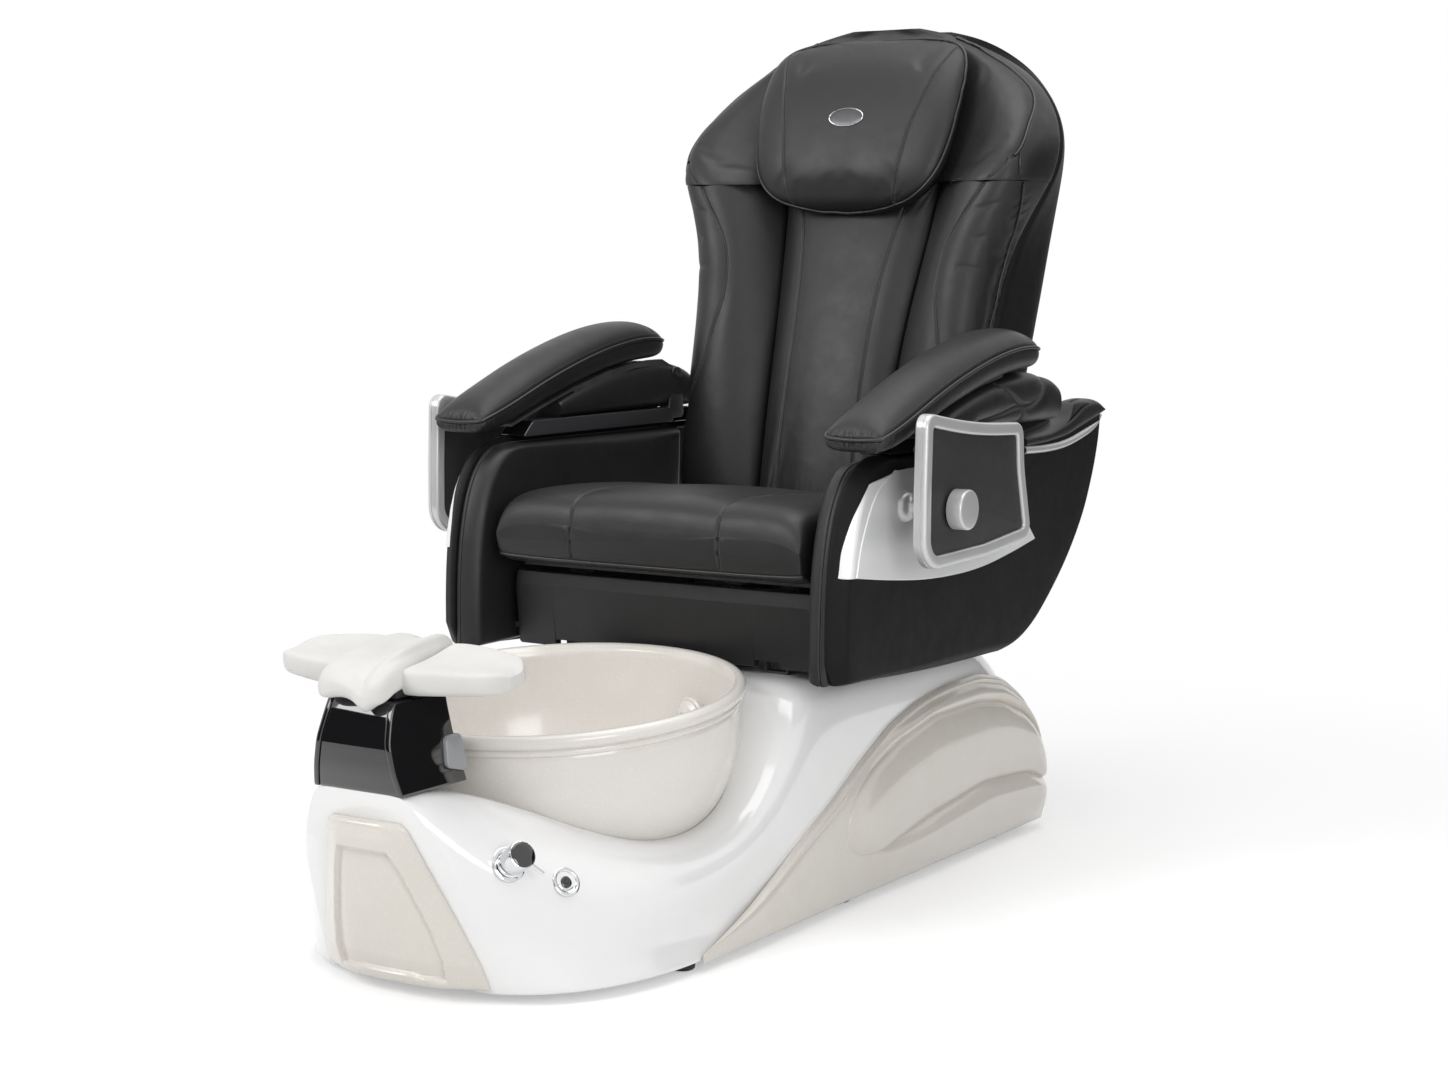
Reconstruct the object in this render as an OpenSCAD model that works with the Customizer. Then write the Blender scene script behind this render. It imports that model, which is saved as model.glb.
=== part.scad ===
// Pedicure spa chair: a moulded foot-bath base with a round basin, a reclining massage chair on
// slide rails, lifting armrests and two swinging side trays.
// X is the sitter's left, -Y the front, +Z up. Stations along the length are measured from the
// front datum and moved by home(), so the origin lies at the middle of the footprint.

/* [Length] */
// Distance from the front datum to the middle of the overall length
mid_y = 649.2; // [600:0.1:700]

/* [Base shell] */
// Height of the shell's lower edge above the floor
shell_z = 14; // [10:1:20]
// Height of the deck that carries the chair
deck_z = 384; // [370:1:395]
// Height of the nose that carries the pedestal
nose_z = 312; // [300:1:325]
// Lowest height of the saddle beside the basin
saddle_z = 186; // [170:1:205]
// Half width of the flanks under the side panels
flank_x = 316; // [305:1:325]
// Wall between the machine bay and the deck
deck_wall = 16; // [10:1:22]
// Half width of the machine bay
bay_x = 240; // [200:1:250]

/* [Side panels] */
// Greatest thickness of a pearl side panel
panel_t = 30; // [22:1:36]
// Depth of the fanned flutes in a side panel
flute_d = 13; // [4:1:16]

/* [Basin] */
// Outer radius of the rolled rim
rim_r = 302; // [292:1:303]
// Height of the middle of the rim
rim_z = 394; // [390:1:398]
// Station of the basin's axis
basin_y = 291; // [286:1:293]
// Tilt of the basin, its back edge higher
basin_tilt = 5; // [4:0.5:5.5]
// Depth of the basin under the rim's lower edge
basin_d = 250; // [235:1:255]
// Wall of the basin
basin_wall = 8; // [6:0.5:9]
// Gap between the basin and its pocket in the shell
basin_gap = 0.5; // [0.3:0.1:1]

/* [Drain and jet] */
// Outer radius of the drain tube
drain_r = 22; // [18:1:26]
// Radius of the stopper's stem
stem_r = 4; // [3:0.5:6]
// Radius of the jet's tube
jet_r = 24; // [20:1:26]
// Angle of the jet from straight back
jet_a = 20; // [10:1:25]
// Depth of the jet's axis below the rim
jet_d = 104; // [98:1:108]
// Radius of the motor behind the jet
motor_r = 38; // [30:1:40]

/* [Pedestal and footrest] */
// Half width of the pedestal at its foot
ped_x = 82; // [76:1:88]
// Height of the pedestal
ped_h = 128; // [118:1:134]
// Wall of the pedestal covers
ped_wall = 9; // [6:1:12]
// Half width of the footrest over both wings
foot_x = 208; // [200:1:230]
// Half width of the centre hump
hump_x = 52; // [46:1:58]
// Gap between the pedestal's head and the footrest
foot_gap = 16; // [14:1:22]

/* [Controls] */
// Radius of the faucet's escutcheon
esc_r = 26; // [22:1:28]
// Radius of the faucet's cap
cap_r = 20.5; // [16:0.5:22]
// Radius of the air button's ring
ring_r = 22; // [18:1:24]
// Travel of the air button
button_travel = 3; // [2:0.5:4]

/* [Chair] */
// Inner face of each arm
arm_in_x = 324; // [320:1:328]
// Seam between the upholstered arm and its outer shell
arm_seam_x = 365; // [358:1:370]
// Outer face of the arm shells
arm_out_x = 398; // [394:1:404]
// Height of the arms
arm_z = 745; // [735:1:752]
// Underside of the chair
chair_z = 394; // [392:1:398]
// Thickness of the silver trim panels
trim_t = 4; // [3:0.5:6]
// Half width of the seat cushion
seat_x = 304; // [296:1:308]
// Underside of the seat cushion
seat_z = 540; // [530:1:548]
// Crown height of the seat cushion at its front
seat_top = 668; // [655:1:675]

/* [Back] */
// Station of the recline hinge
hinge_y = 1120; // [1110:1:1130]
// Height of the recline hinge
hinge_z = 560; // [550:1:565]
// Radius of the recline hinge pins
hinge_r = 8; // [6:0.5:10]
// Lower edge of the back shell
back_z = 612; // [608:1:620]
// Thickness of the padded layers in front of the back shell
pad_t = 74; // [64:1:80]

/* [Armrests and trays] */
// Inner edge of the armrest pads
rest_in_x = 330; // [326:1:334]
// Outer edge of the armrest pads
rest_out_x = 446; // [440:1:452]
// Radius of the armrest hinge pins
rest_pin_r = 5; // [4:0.5:6]
// Inner face of the side trays
tray_in_x = 470; // [466:1:476]
// Thickness of the tray frames
tray_t = 23; // [18:1:26]
// Width of the silver tray frame, seen from the side
tray_rim = 21; // [16:1:26]
// Radius of the tray knobs
knob_r = 32; // [28:1:34]
// Radius of the tray spindles
spindle_r = 10; // [8:0.5:12]

/* [Fits] */
// Radial running clearance of pins and stems
run = 0.05; // [0.02:0.01:0.09]
// Gap between soft or curved neighbours
soft_gap = 0.3; // [0.2:0.1:0.6]
// Gap between sliding members
slide_gap = 0.6; // [0.4:0.1:1]

/* [Hidden] */
$fn = 64;

white = "white";
pearl = "linen";
hide = [0.14, 0.14, 0.15];
gloss = [0.05, 0.05, 0.06];
silver = "silver";
steel = "dimgray";

// Moves a piece from its stations to the origin in the middle of the footprint.
module home() { translate([0, -mid_y, 0]) children(); }
// Draws a sitter's-left piece on the right as well.
module other_side() { mirror([1, 0, 0]) children(); }

// ---- Smooth lofted skins -------------------------------------------------------------------
// Weights of a uniform cubic B-spline at t in 0..1.
function weights(t) = [pow(1 - t, 3), 3 * t^3 - 6 * t^2 + 4, -3 * t^3 + 3 * t^2 + 3 * t + 1, t^3] / 6;
function mix4(p, w) = p[0] * w[0] + p[1] * w[1] + p[2] * w[2] + p[3] * w[3];
// Closed curve drawn by a ring of control points, with k steps to each.
function ring(c, k) = [for (i = [0 : len(c) - 1], j = [0 : k - 1])
    mix4([for (d = [0 : 3]) c[(i + d) % len(c)]], weights(j / k))];
// Rings between control rings, with the first and the last ring held.
function held(c, i) = c[max(0, min(len(c) - 1, i))];
function flow(c, k) = [for (s = [0 : len(c)], j = [0 : k - 1])
    mix4([for (d = [-2 : 1]) held(c, s + d)], weights(j / k)), c[len(c) - 1]];
// Sum of a list of points, and twice the area vector of a ring.
function area(c) = sum([for (i = [0 : len(c) - 1]) cross(c[i] - c[0], c[(i + 1) % len(c)] - c[0])]);
function sum(v, i = 0) = i >= len(v) ? [0, 0, 0] : v[i] + sum(v, i + 1);
// Rings run anticlockwise about the way of the loft, so that the skin faces outwards.
function facing(r) = area(r[0]) * (sum(r[1]) - sum(r[0])) > 0 ? r
    : [for (q = r) [for (i = [len(q) - 1 : -1 : 0]) q[i]]];
// Closed solid over rings of equal count, with flat ends.
module skin(rings) {
    r = facing(rings);
    n = len(r[0]);
    m = len(r);
    polyhedron(points = [for (q = r) each q], faces = [
        for (i = [0 : m - 2], j = [0 : n - 1]) each [
            [i * n + j, (i + 1) * n + j, (i + 1) * n + (j + 1) % n],
            [i * n + j, (i + 1) * n + (j + 1) % n, i * n + (j + 1) % n]],
        [for (j = [0 : n - 1]) j],
        [for (j = [n - 1 : -1 : 0]) (m - 1) * n + j]]);
}
// Loft of control rings: k steps round each control point, s steps from ring to ring.
module loft(net, k = 2, s = 2) { skin(flow([for (c = net) ring(c, k)], s)); }
// Value of a table of [station, value] pairs at x.
function at(t, x) = lookup(x, t);
// Cosine blend from 0 to 1 between a and b.
function ease(x, a, b) = let(t = max(0, min(1, (x - a) / (b - a)))) (1 - cos(180 * t)) / 2;
// Polygon with each corner rounded to its radius by an arc of n steps.
function rounded(p, r, n = 6) = [for (i = [0 : len(p) - 1]) let(
    m = len(p), a = p[(i + m - 1) % m] - p[i], b = p[(i + 1) % m] - p[i],
    ua = a / norm(a), ub = b / norm(b), half = acos(ua * ub) / 2,
    cut = r[i] / tan(half), c = p[i] + (ua + ub) / norm(ua + ub) * r[i] / sin(half),
    pa = p[i] + ua * cut - c, pb = p[i] + ub * cut - c,
    sweep = acos(max(-1, min(1, pa * pb / (r[i] * r[i])))),
    turn = (pa.x * pb.y - pa.y * pb.x) > 0 ? 1 : -1)
    each [for (j = [0 : n]) let(q = turn * sweep * j / n)
        c + [pa.x * cos(q) - pa.y * sin(q), pa.x * sin(q) + pa.y * cos(q)]]];
// Corners of a polygon moved inwards by w; the polygon runs anticlockwise.
function inset(p, w) = [for (i = [0 : len(p) - 1]) let(
    m = len(p), u = p[i] - p[(i + m - 1) % m], v = p[(i + 1) % m] - p[i],
    a = u / norm(u), b = v / norm(v), s = a.x * b.y - a.y * b.x)
    p[i] + (b - a) * w / s];
// Side profile in YZ, extruded from x0 to x1.
module side_plate(p, x0, x1) {
    translate([x0, 0, 0]) rotate([90, 0, 90]) linear_extrude(x1 - x0) polygon(p);
}

// ---- Base shell ----------------------------------------------------------------------------
// Each row: station, forward lean, half width at the foot, waist x and z, shoulder x and z,
// upper edge x and z, height of the middle.
shell_rows = [
    [-55, 0.36, 158, 150, 90, 142, 215, 88, nose_z - 6, nose_z],
    [-35, 0.38, 205, 185, 90, 172, 205, 96, nose_z - 6, nose_z],
    [15, 0.32, 258, 236, 84, 232, 182, 108, nose_z - 10, nose_z],
    [80, 0.24, 290, 264, 78, 280, 160, 144, nose_z - 50, nose_z - 32],
    [145, 0.15, 308, 280, 74, 314, 150, 210, 222, 232],
    [210, 0.08, 316, 288, 72, 332, 148, 258, 196, saddle_z + 6],
    [290, 0, flank_x, 298, 78, 332, 156, 272, 190, saddle_z],
    [370, 0, flank_x, 306, 96, 328, 182, 274, 204, saddle_z + 10],
    [440, 0, flank_x, 312, 120, 322, 214, 280, 240, 240],
    [500, 0, flank_x, flank_x, 130, flank_x + 1.5, 262, 288, 304, 312],
    [550, 0, flank_x, flank_x, 140, flank_x + 1, 300, 298, 362, deck_z],
    [610, 0, flank_x, flank_x, 150, flank_x, 316, 304, deck_z - 8, deck_z],
    [760, 0, flank_x, flank_x, 150, flank_x, 320, 304, deck_z - 8, deck_z],
    [1000, 0, flank_x, flank_x, 150, flank_x, 320, 304, deck_z - 8, deck_z],
    [1120, 0, flank_x, flank_x, 150, flank_x, 310, 302, deck_z - 8, deck_z],
    [1200, -0.05, flank_x, flank_x, 140, 316, 280, 290, 350, 360],
    [1270, -0.12, flank_x, 314, 120, 306, 230, 268, 286, 300],
    [1335, -0.2, 306, 304, 100, 288, 180, 240, 226, 238],
    [1368, -0.22, 285, 280, 80, 262, 140, 215, 175, 186]];
function shell_ring(r) = let(y = r[0], k = r[1],
    half = [[r[2] * 0.6, shell_z], [r[2], shell_z], [r[2], shell_z + 4], [r[3], r[4]],
        [r[5], r[6]], [r[7], r[8]], [r[7] * 0.82, r[9]], [r[7] * 0.4, r[9]]])
    [each [for (p = half) [p.x, y - k * p.y, p.y]],
     each [for (i = [len(half) - 1 : -1 : 0]) let(p = half[i]) [-p.x, y - k * p.y, p.y]]];

// The basin's own frame: axis up, origin at the middle of the rim.
module in_basin() { translate([0, basin_y, rim_z]) rotate([basin_tilt, 0, 0]) children(); }
module in_jet() {
    in_basin() rotate([0, 0, -jet_a]) translate([0, 0, -jet_d]) rotate([-90, 0, 0]) children();
}
lip_h = 24;
wall_r = rim_r - 13;
// Radius of the basin's wall at a depth below the rim, for a wall moved in by w.
function bowl_r(d, w) = (wall_r - w) * pow(1 - pow(max(0, d - lip_h) / (basin_d + 10 - w), 2.6), 1 / 2.6);
function bowl_line(w, z0) = [for (i = [0 : 18]) let(d = z0 + (lip_h + basin_d - w - z0) * sin(i * 5))
    [bowl_r(d, w), -d]];
bowl_floor = lip_h + basin_d;
module bowl_pocket() {
    in_basin() rotate_extrude($fn = 96) polygon([[0, 60], [wall_r + basin_gap, 60],
        each bowl_line(-basin_gap, 0), [0, -bowl_floor - basin_gap]]);
}

bay_y = [590, 1180];
faucet_at = [184, -65, 209];
faucet_axis = [0, 60, -20];
button_at = [232, 5, 175];
button_axis = [0, 58, -18];
// Frame of a control on the shoulder of the shell, leaning out along its axis.
module leaning(place, axis) {
    translate(place) rotate([0, 0, axis.z]) rotate([0, axis.y, 0]) children();
}
module in_faucet() { leaning(faucet_at, faucet_axis) children(); }
module in_button() { leaning(button_at, button_axis) children(); }

module base_shell() {
    color(white) home() difference() {
        loft([for (r = shell_rows) shell_ring(r)], 2, 2);
        bowl_pocket();
        translate([-bay_x, bay_y[0], 0]) cube([2 * bay_x, bay_y[1] - bay_y[0], deck_z - deck_wall]);
        in_jet() cylinder(r = jet_r + 8, h = 400);
        in_basin() translate([0, 0, -bowl_floor - 200]) cylinder(r = 60, h = 200);
        in_faucet() cylinder(r = esc_r + 1, h = 80);
        in_faucet() translate([0, 0, -30]) cylinder(r = 15.5, h = 60);
        in_button() cylinder(r = ring_r + 1, h = 80);
        in_button() translate([0, 0, -26]) cylinder(r = 13, h = 60);
    }
}

// ---- Pearl panels --------------------------------------------------------------------------
front_lean = shell_rows[0][1];
front_y = shell_rows[0][0];
insert_rows = [[22, 150, 40], [60, 144, 42], [120, 124, 36], [190, 98, 30], [245, 78, 24], [270, 68, 16]];
module front_insert() {
    function row(r, n = 12) = let(z = r[0], w = r[1], t = r[2], y0 = front_y - front_lean * z - soft_gap)
        [each [for (i = [0 : n]) let(x = w * (1 - 2 * i / n), q = 1 - pow(abs(x) / w, 2.2))
            [x, y0 - 6 - t * q, z]], [-w, y0, z], [w, y0, z]];
    color(pearl) home() skin([for (r = insert_rows) row(r)]);
}

// Upper and lower edge of a side panel along the length.
panel_top = [[232, 26], [290, 44], [360, 70], [440, 108], [520, 150], [610, 190], [700, 238],
    [800, 284], [900, 310], [1000, 322], [1120, 324], [1210, 306], [1290, 260], [1345, 205],
    [1386, 120]];
panel_low = [[232, 18], [330, 22], [460, 34], [620, 40], [900, 34], [1100, 24], [1386, 20]];
// The middle leaf springs from a rounded tip; a second leaf hangs under it and a third lies over it.
tip_y = 640;
leaf_low = [[640, 116], [648, 102], [669, 90], [700, 83], [752, 81], [931, 110], [1124, 130],
    [1298, 118], [1386, 90]];
leaf_high = [[640, 137], [648, 158], [669, 186], [720, 222], [804, 252], [930, 276], [1100, 276],
    [1200, 262], [1290, 228], [1345, 178], [1386, 108]];
// Height across the panel at u = 0..3: foot, lower crease, upper crease, top edge.
function panel_z(y, u) = let(lo = at(panel_low, y), hi = at(panel_top, y),
    a = y < tip_y ? lo + 0.455 * (hi - lo) : at(leaf_low, y),
    b = y < tip_y ? lo + 0.58 * (hi - lo) : at(leaf_high, y))
    lookup(u, [[0, lo], [1, a], [2, b], [3, hi]]);
// Proud height: a crown over the whole panel, the leaves on it, and a bead along its top edge.
function panel_x(y, u) = let(z = panel_z(y, u), lo = panel_z(y, 0), hi = panel_z(y, 3),
    v = (z - lo) / (hi - lo), tail = max(0, (y - 1300) / 92), ends = ease(y, 225, 420) * sqrt(1 - tail * tail),
    crown = pow(max(0, 1 - pow(abs(2 * v - 1), 3)), 0.7), s = u - floor(u),
    low = ease(y, 690, 950) * (s > 0.72 ? pow(sin(90 * (1 - s) / 0.28), 0.8) : sin(90 * s / 0.72)),
    mid = sqrt(ease(y, tip_y - 4, 730)) * pow(max(0, 1 - pow(abs(2 * s - 1), 2.6)), 0.6),
    top = 0.6 * ease(y, 700, 900) * sin(180 * min(1, s / 0.75)),
    bead = u > 2.72 ? 5 * sin(180 * min(1, (u - 2.72) / 0.28)) * ease(y, 240, 420) : 0)
    flank_x + soft_gap + 3 + (panel_t - 3 - flute_d) * crown * ends + bead
    + flute_d * ends * (u < 1 ? low : (u < 2 ? mid : top));
panel_ys = [232, 262, 300, 350, 410, 470, 530, 590, 636, 642, 650, 662, 680, 705, 740, 790, 850, 910,
    970, 1030, 1090, 1150, 1200, 1240, 1270, 1300, 1325, 1345, 1362, 1375, 1383, 1386];
panel_us = [0, 0.12, 0.3, 0.5, 0.68, 0.82, 0.92, 1, 1.03, 1.1, 1.22, 1.38, 1.5, 1.62, 1.78, 1.9, 1.97, 2,
    2.15, 2.35, 2.55, 2.72, 2.79, 2.86, 2.93, 3];
module side_panel_blank() {
    skin([for (y = panel_ys) [[flank_x + soft_gap, y, panel_z(y, 3)], [flank_x + soft_gap, y, panel_z(y, 0)],
        each [for (u = panel_us) [panel_x(y, u), y, panel_z(y, u)]]]]);
}
module side_panel_left() { color(pearl) home() side_panel_blank(); }
module side_panel_right() { color(pearl) home() other_side() side_panel_blank(); }

// ---- Feet and hidden frame -----------------------------------------------------------------
foot_places = [[278, 235], [278, 700], [278, 1240], [105, 60]];
foot_r = 20;
module feet() {
    color(gloss) home() for (p = foot_places, s = [-1, 1]) translate([s * p.x, p.y, 0]) rotate_extrude()
        polygon([[0, 0], [foot_r - 2, 0], [foot_r, 3], [foot_r, shell_z - 5], [12, shell_z - 3], [12, shell_z],
            [0, shell_z]]);
}

tube = 40;
rail_x = 200;
rail_y = [630, 1150];
frame_z = shell_z + 4;
module base_frame() {
    top = deck_z - deck_wall;
    color(steel) home() {
        for (s = [-1, 1]) {
            translate([s * rail_x - tube / 2, rail_y[0] - 20, frame_z])
                cube([tube, rail_y[1] - rail_y[0] + 40, tube]);
            for (y = rail_y) translate([s * rail_x - tube / 2, y - tube / 2, frame_z + tube])
                cube([tube, tube, top - frame_z - tube]);
        }
        for (y = [760, 1000]) translate([-rail_x + tube / 2, y, frame_z]) cube([2 * rail_x - tube, tube, tube]);
    }
}

// ---- Basin with its drain and jet ----------------------------------------------------------
module basin() {
    lip = [for (a = [-90 : 15 : 90]) [rim_r - 11 + 11 * cos(a), -11 + 11 * sin(a)]];
    inner = bowl_line(basin_wall, 12);
    color(pearl) home() in_basin() difference() {
        rotate_extrude($fn = 96) polygon([
            each [for (i = [18 : -1 : 0]) bowl_line(0, lip_h)[i]], [wall_r, -22.5], each lip,
            [rim_r - 21, 0], [rim_r - 23, -5], each inner, [0, -bowl_floor + basin_wall],
            [0, -bowl_floor]]);
        translate([0, 0, -bowl_floor - 1]) cylinder(r = drain_r + run, h = basin_wall + 10);
        rotate([0, 0, -jet_a]) translate([0, 0, -jet_d]) rotate([-90, 0, 0])
            translate([0, 0, jet_wall * 0.75]) cylinder(r = jet_r + run, h = jet_wall);
    }
}

drain_top = -bowl_floor + basin_wall;
module drain_body() {
    color(silver) home() in_basin() translate([0, 0, drain_top]) difference() {
        union() {
            translate([0, 0, 0]) cylinder(r = 36, h = 3);
            translate([0, 0, -46]) cylinder(r = drain_r, h = 47);
            translate([0, 0, -basin_wall - 6]) cylinder(r = 32, h = 6);
        }
        translate([0, 0, -47]) cylinder(r = drain_r - 3, h = 44);
        translate([0, 0, -5]) cylinder(r = stem_r + run, h = 12);
        for (a = [0 : 45 : 315]) rotate([0, 0, a]) translate([12, 0, -5]) cylinder(r = 3.5, h = 12);
    }
}
module drain_stopper() {
    color(silver) home() in_basin() translate([0, 0, drain_top + 3 + soft_gap]) {
        rotate_extrude() polygon([[0, 0], [20, 0], [24, 2], [24, 4], [21, 6.5], [12, 8.5], [0, 9]]);
        translate([0, 0, -16]) cylinder(r = stem_r, h = 17);
    }
}

jet_wall = bowl_r(jet_d, 0);
jet_face = sqrt(pow(bowl_r(jet_d + jet_r + 12, basin_wall), 2) - pow(jet_r + 12, 2)) - 0.5;
module jet_housing() {
    color(pearl) home() in_jet() rotate_extrude() polygon([[15, jet_face - 4], [jet_r + 9, jet_face - 4],
        [jet_r + 11, jet_face - 2], [jet_r + 11, jet_face], [jet_r, jet_face], [jet_r, jet_wall + 60],
        [15, jet_wall + 60]]);
}
module jet_cap() {
    color(pearl) home() in_jet() difference() {
        union() {
            translate([0, 0, jet_face - 4 - 12 - soft_gap]) rotate_extrude() polygon([[0, 0], [14, 0], [24, 4],
                [jet_r + 6, 10], [jet_r + 6, 12], [0, 12]]);
            translate([0, 0, jet_face - 5]) cylinder(r = 15 - run, h = 20);
        }
        translate([0, 0, jet_face - 30]) cylinder(r = 6, h = 60);
        for (a = [0 : 60 : 300]) rotate([0, 0, a]) translate([10.5, 0, jet_face - 30]) cylinder(r = 2, h = 60);
    }
}
motor_z = jet_wall + 60;
module jet_motor() {
    color(steel) home() in_jet() {
        translate([0, 0, motor_z]) cylinder(r = jet_r + 8, h = 14);
        translate([0, 0, motor_z + 14]) cylinder(r = motor_r, h = 78);
        translate([0, 0, motor_z + 92]) cylinder(r = motor_r - 10, h = 10);
    }
}
shelf_z = frame_z + tube;
module drain_pump() {
    color(steel) home() translate([-90, 780, shelf_z]) {
        translate([-35, -20, 0]) cube([70, 70, 12]);
        translate([0, -40, 48]) rotate([-90, 0, 0]) cylinder(r = 36, h = 34);
        translate([0, -6, 48]) rotate([-90, 0, 0]) cylinder(r = 30, h = 90);
        translate([-12, -30, 80]) cylinder(r = 10, h = 40);
    }
}
module control_box() {
    color(gloss) home() translate([40, 770, shelf_z]) {
        cube([110, 262, 46]);
        translate([20, 40, 46]) cube([24, 40, 6]);
    }
}

// ---- Pedestal and footrest -----------------------------------------------------------------
ped_y = [basin_y - rim_r - 160, basin_y - rim_r - 15];
ped_z = nose_z + soft_gap;
foot_z = nose_z + ped_h + foot_gap;
// Form of the pedestal: share of its height, how far its sides draw in, its front swells and
// its rear draws in.
ped_form = [[0, 0, 0, 0], [0.26, 7, 8, 6], [0.57, 14.5, 10, 13], [0.88, 20, -3, 18], [1, 22, -11, 20]];
function ped_row(t, i) = lookup(t, [for (r = ped_form) [r[0], r[i]]]);
// Slice of that form between x = a and x = b, both taken from its half width, with its front and
// rear set in by w, between two shares of its height.
module ped_slice(a, b, w = [0, 0], t0 = 0, t1 = 1) {
    skin([for (i = [0 : 8]) let(t = t0 + (t1 - t0) * i / 8, h = ped_x - ped_row(t, 1), z = ped_z + t * ped_h,
        f = ped_y[0] - ped_row(t, 2) + w[0], r = ped_y[1] - ped_row(t, 3) - w[1])
        [[a(h), f, z], [b(h), f, z], [b(h), r, z], [a(h), r, z]]]);
}
post = [62, 34];
post_y = ped_y[1] - 62;
module pedestal_cover() {
    wall = ped_wall + soft_gap;
    color(gloss) home() difference() {
        ped_slice(function (h) wall - h, function (h) h - wall);
        ped_slice(function (h) wall + 10 - h, function (h) h - wall - 10, [16, 12], -0.01, 0.8);
        translate([-post.x / 2 - slide_gap, post_y - post.y / 2 - slide_gap, ped_z + 40])
            cube([post.x + 2 * slide_gap, post.y + 2 * slide_gap, 200]);
    }
}
module pedestal_cheeks() {
    color(gloss) home() for (m = [0, 1]) mirror([m, 0, 0])
        ped_slice(function (h) h - ped_wall, function (h) h);
}
module pedestal_clips() {
    r = ped_y[1] + 2;
    p = rounded([[r - 46, ped_z + 25], [r, ped_z + 13], [r - 5, ped_z + 69], [r - 40, ped_z + 68]], [9, 9, 9, 9]);
    color("gray") home() for (m = [0, 1]) mirror([m, 0, 0]) skin([for (out = [soft_gap, 5.5])
        [for (q = p) [ped_x - ped_row((q.y - ped_z) / ped_h, 1) + out, q.x, q.y]]]);
}
module footrest_post() {
    color(steel) home() {
        translate([-post.x / 2, post_y - post.y / 2, ped_z + 46])
            cube([post.x, post.y, foot_z - foot_gap + 2 - ped_z - 46]);
        translate([-40, post_y - 44, foot_z - foot_gap + 2]) cube([80, 92, foot_gap - 2]);
        for (m = [0, 1]) mirror([m, 0, 0]) translate([38, -100, foot_z - 5]) cube([82, 44, 5]);
    }
}
// Hump: a saddle across the middle, its crown lowest at the centre line.
module footrest_centre() {
    rows = [[-176, 12, 10, 6], [-170, 30, 24, 8], [-140, 46, 40, 10], [-90, 50, 52, 10], [-40, 50, 56, 8],
        [0, 46, 54, 6], [18, 34, 40, 4], [24, 16, 20, 2]];
    color("ivory") home() loft([for (r = rows) let(y = r[0], w = r[1], h = r[2], dip = r[3])
        [for (p = [[0.5, 0], [1, 0], [1.06, 0.3], [1.04, 0.8], [0.75, 1.06], [0.3, 1], [0, 1]])
            [p.x * w, y, foot_z + soft_gap + p.y * h - (p.x == 0 ? dip : 0)],
         for (p = [[-0.3, 1], [-0.75, 1.06], [-1.04, 0.8], [-1.06, 0.3], [-1, 0], [-0.5, 0]])
            [p.x * w, y, foot_z + soft_gap + p.y * h]]], 2, 2);
}
module footrest_wing() {
    rows = [[0, 66, 40, 0], [0.12, 66, 42, 0], [0.35, 62, 40, 2], [0.6, 56, 36, 4], [0.8, 48, 34, 5],
        [0.93, 36, 30, 6], [1, 16, 18, 10]];
    x0 = hump_x + 3;
    loft([for (r = rows) let(x = x0 + (foot_x - x0) * r[0], hw = r[1], t = r[2], z = foot_z + soft_gap + r[3])
        [for (p = [[-0.6, 0], [-1, 0.1], [-1.03, 0.6], [-0.8, 1], [0, 1.06], [0.8, 1], [1.03, 0.6], [1, 0.1],
            [0.6, 0]]) [x, -70 - p.x * hw, z + p.y * t]]], 2, 2);
}
module footrest_wing_left() { color("ivory") home() footrest_wing(); }
module footrest_wing_right() { color("ivory") home() other_side() footrest_wing(); }

// ---- Water controls ------------------------------------------------------------------------
body_r = 14;
module faucet_escutcheon() {
    color(silver) home() in_faucet() rotate_extrude() polygon([[body_r + run, 0], [esc_r, 0], [esc_r, 2.5],
        [esc_r - 5, 6], [body_r + 3, 8], [body_r + 1, 12], [body_r + run, 12]]);
}
module faucet_body() {
    color(silver) home() in_faucet() rotate_extrude() polygon([[6 + run, -24], [body_r, -24], [body_r, 24],
        [body_r - 1.5, 26], [6 + run, 26]]);
}
module faucet_handle() {
    color(gloss) home() in_faucet() {
        rotate_extrude() polygon([[0, 4], [6, 4], [6, 27], [cap_r - 4, 27], [cap_r - 4, 16], [cap_r, 16],
            [cap_r, 43], [cap_r - 2, 45], [cap_r - 3, 46], [0, 46.5]]);
        rotate([0, 0, 45]) translate([0, 0, 35]) rotate([0, 90, 0]) translate([0, 0, cap_r - 4])
            cylinder(r = 3.2, h = 26);
    }
}
module button_ring() {
    color(silver) home() in_button() rotate_extrude() polygon([[9 + 3 * run, -10], [12, -10], [12, 0],
        [ring_r, 0], [ring_r, 3], [ring_r - 2, 5], [ring_r - 5, 5], [ring_r - 7, 2.5], [9 + 3 * run, 1]]);
}
module air_button() {
    color(gloss) home() in_button() rotate_extrude() polygon([[0, -14], [9 - run, -14],
        [9 - run, button_travel + 0.2], [7.5, button_travel + 1.4], [0, button_travel + 2]]);
}

// ---- Seat rails and carriage ---------------------------------------------------------------
rail_w = 44;
rail_h = 20;
rail_t = 3;
module seat_rails() {
    color(steel) home() for (s = [-1, 1]) translate([s * rail_x, 0, deck_z + soft_gap]) {
        side_plate([[rail_y[0], 0], [rail_y[1], 0], [rail_y[1], rail_t], [rail_y[0], rail_t]],
            -rail_w / 2, rail_w / 2);
        for (m = [0, 1]) mirror([m, 0, 0]) {
            side_plate([[rail_y[0], rail_t], [rail_y[1], rail_t], [rail_y[1], rail_h], [rail_y[0], rail_h]],
                rail_w / 2 - rail_t, rail_w / 2);
            side_plate([[rail_y[0], rail_h - rail_t], [rail_y[1], rail_h - rail_t], [rail_y[1], rail_h],
                [rail_y[0], rail_h]], rail_w / 2 - 12, rail_w / 2 - rail_t);
        }
    }
}
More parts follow.
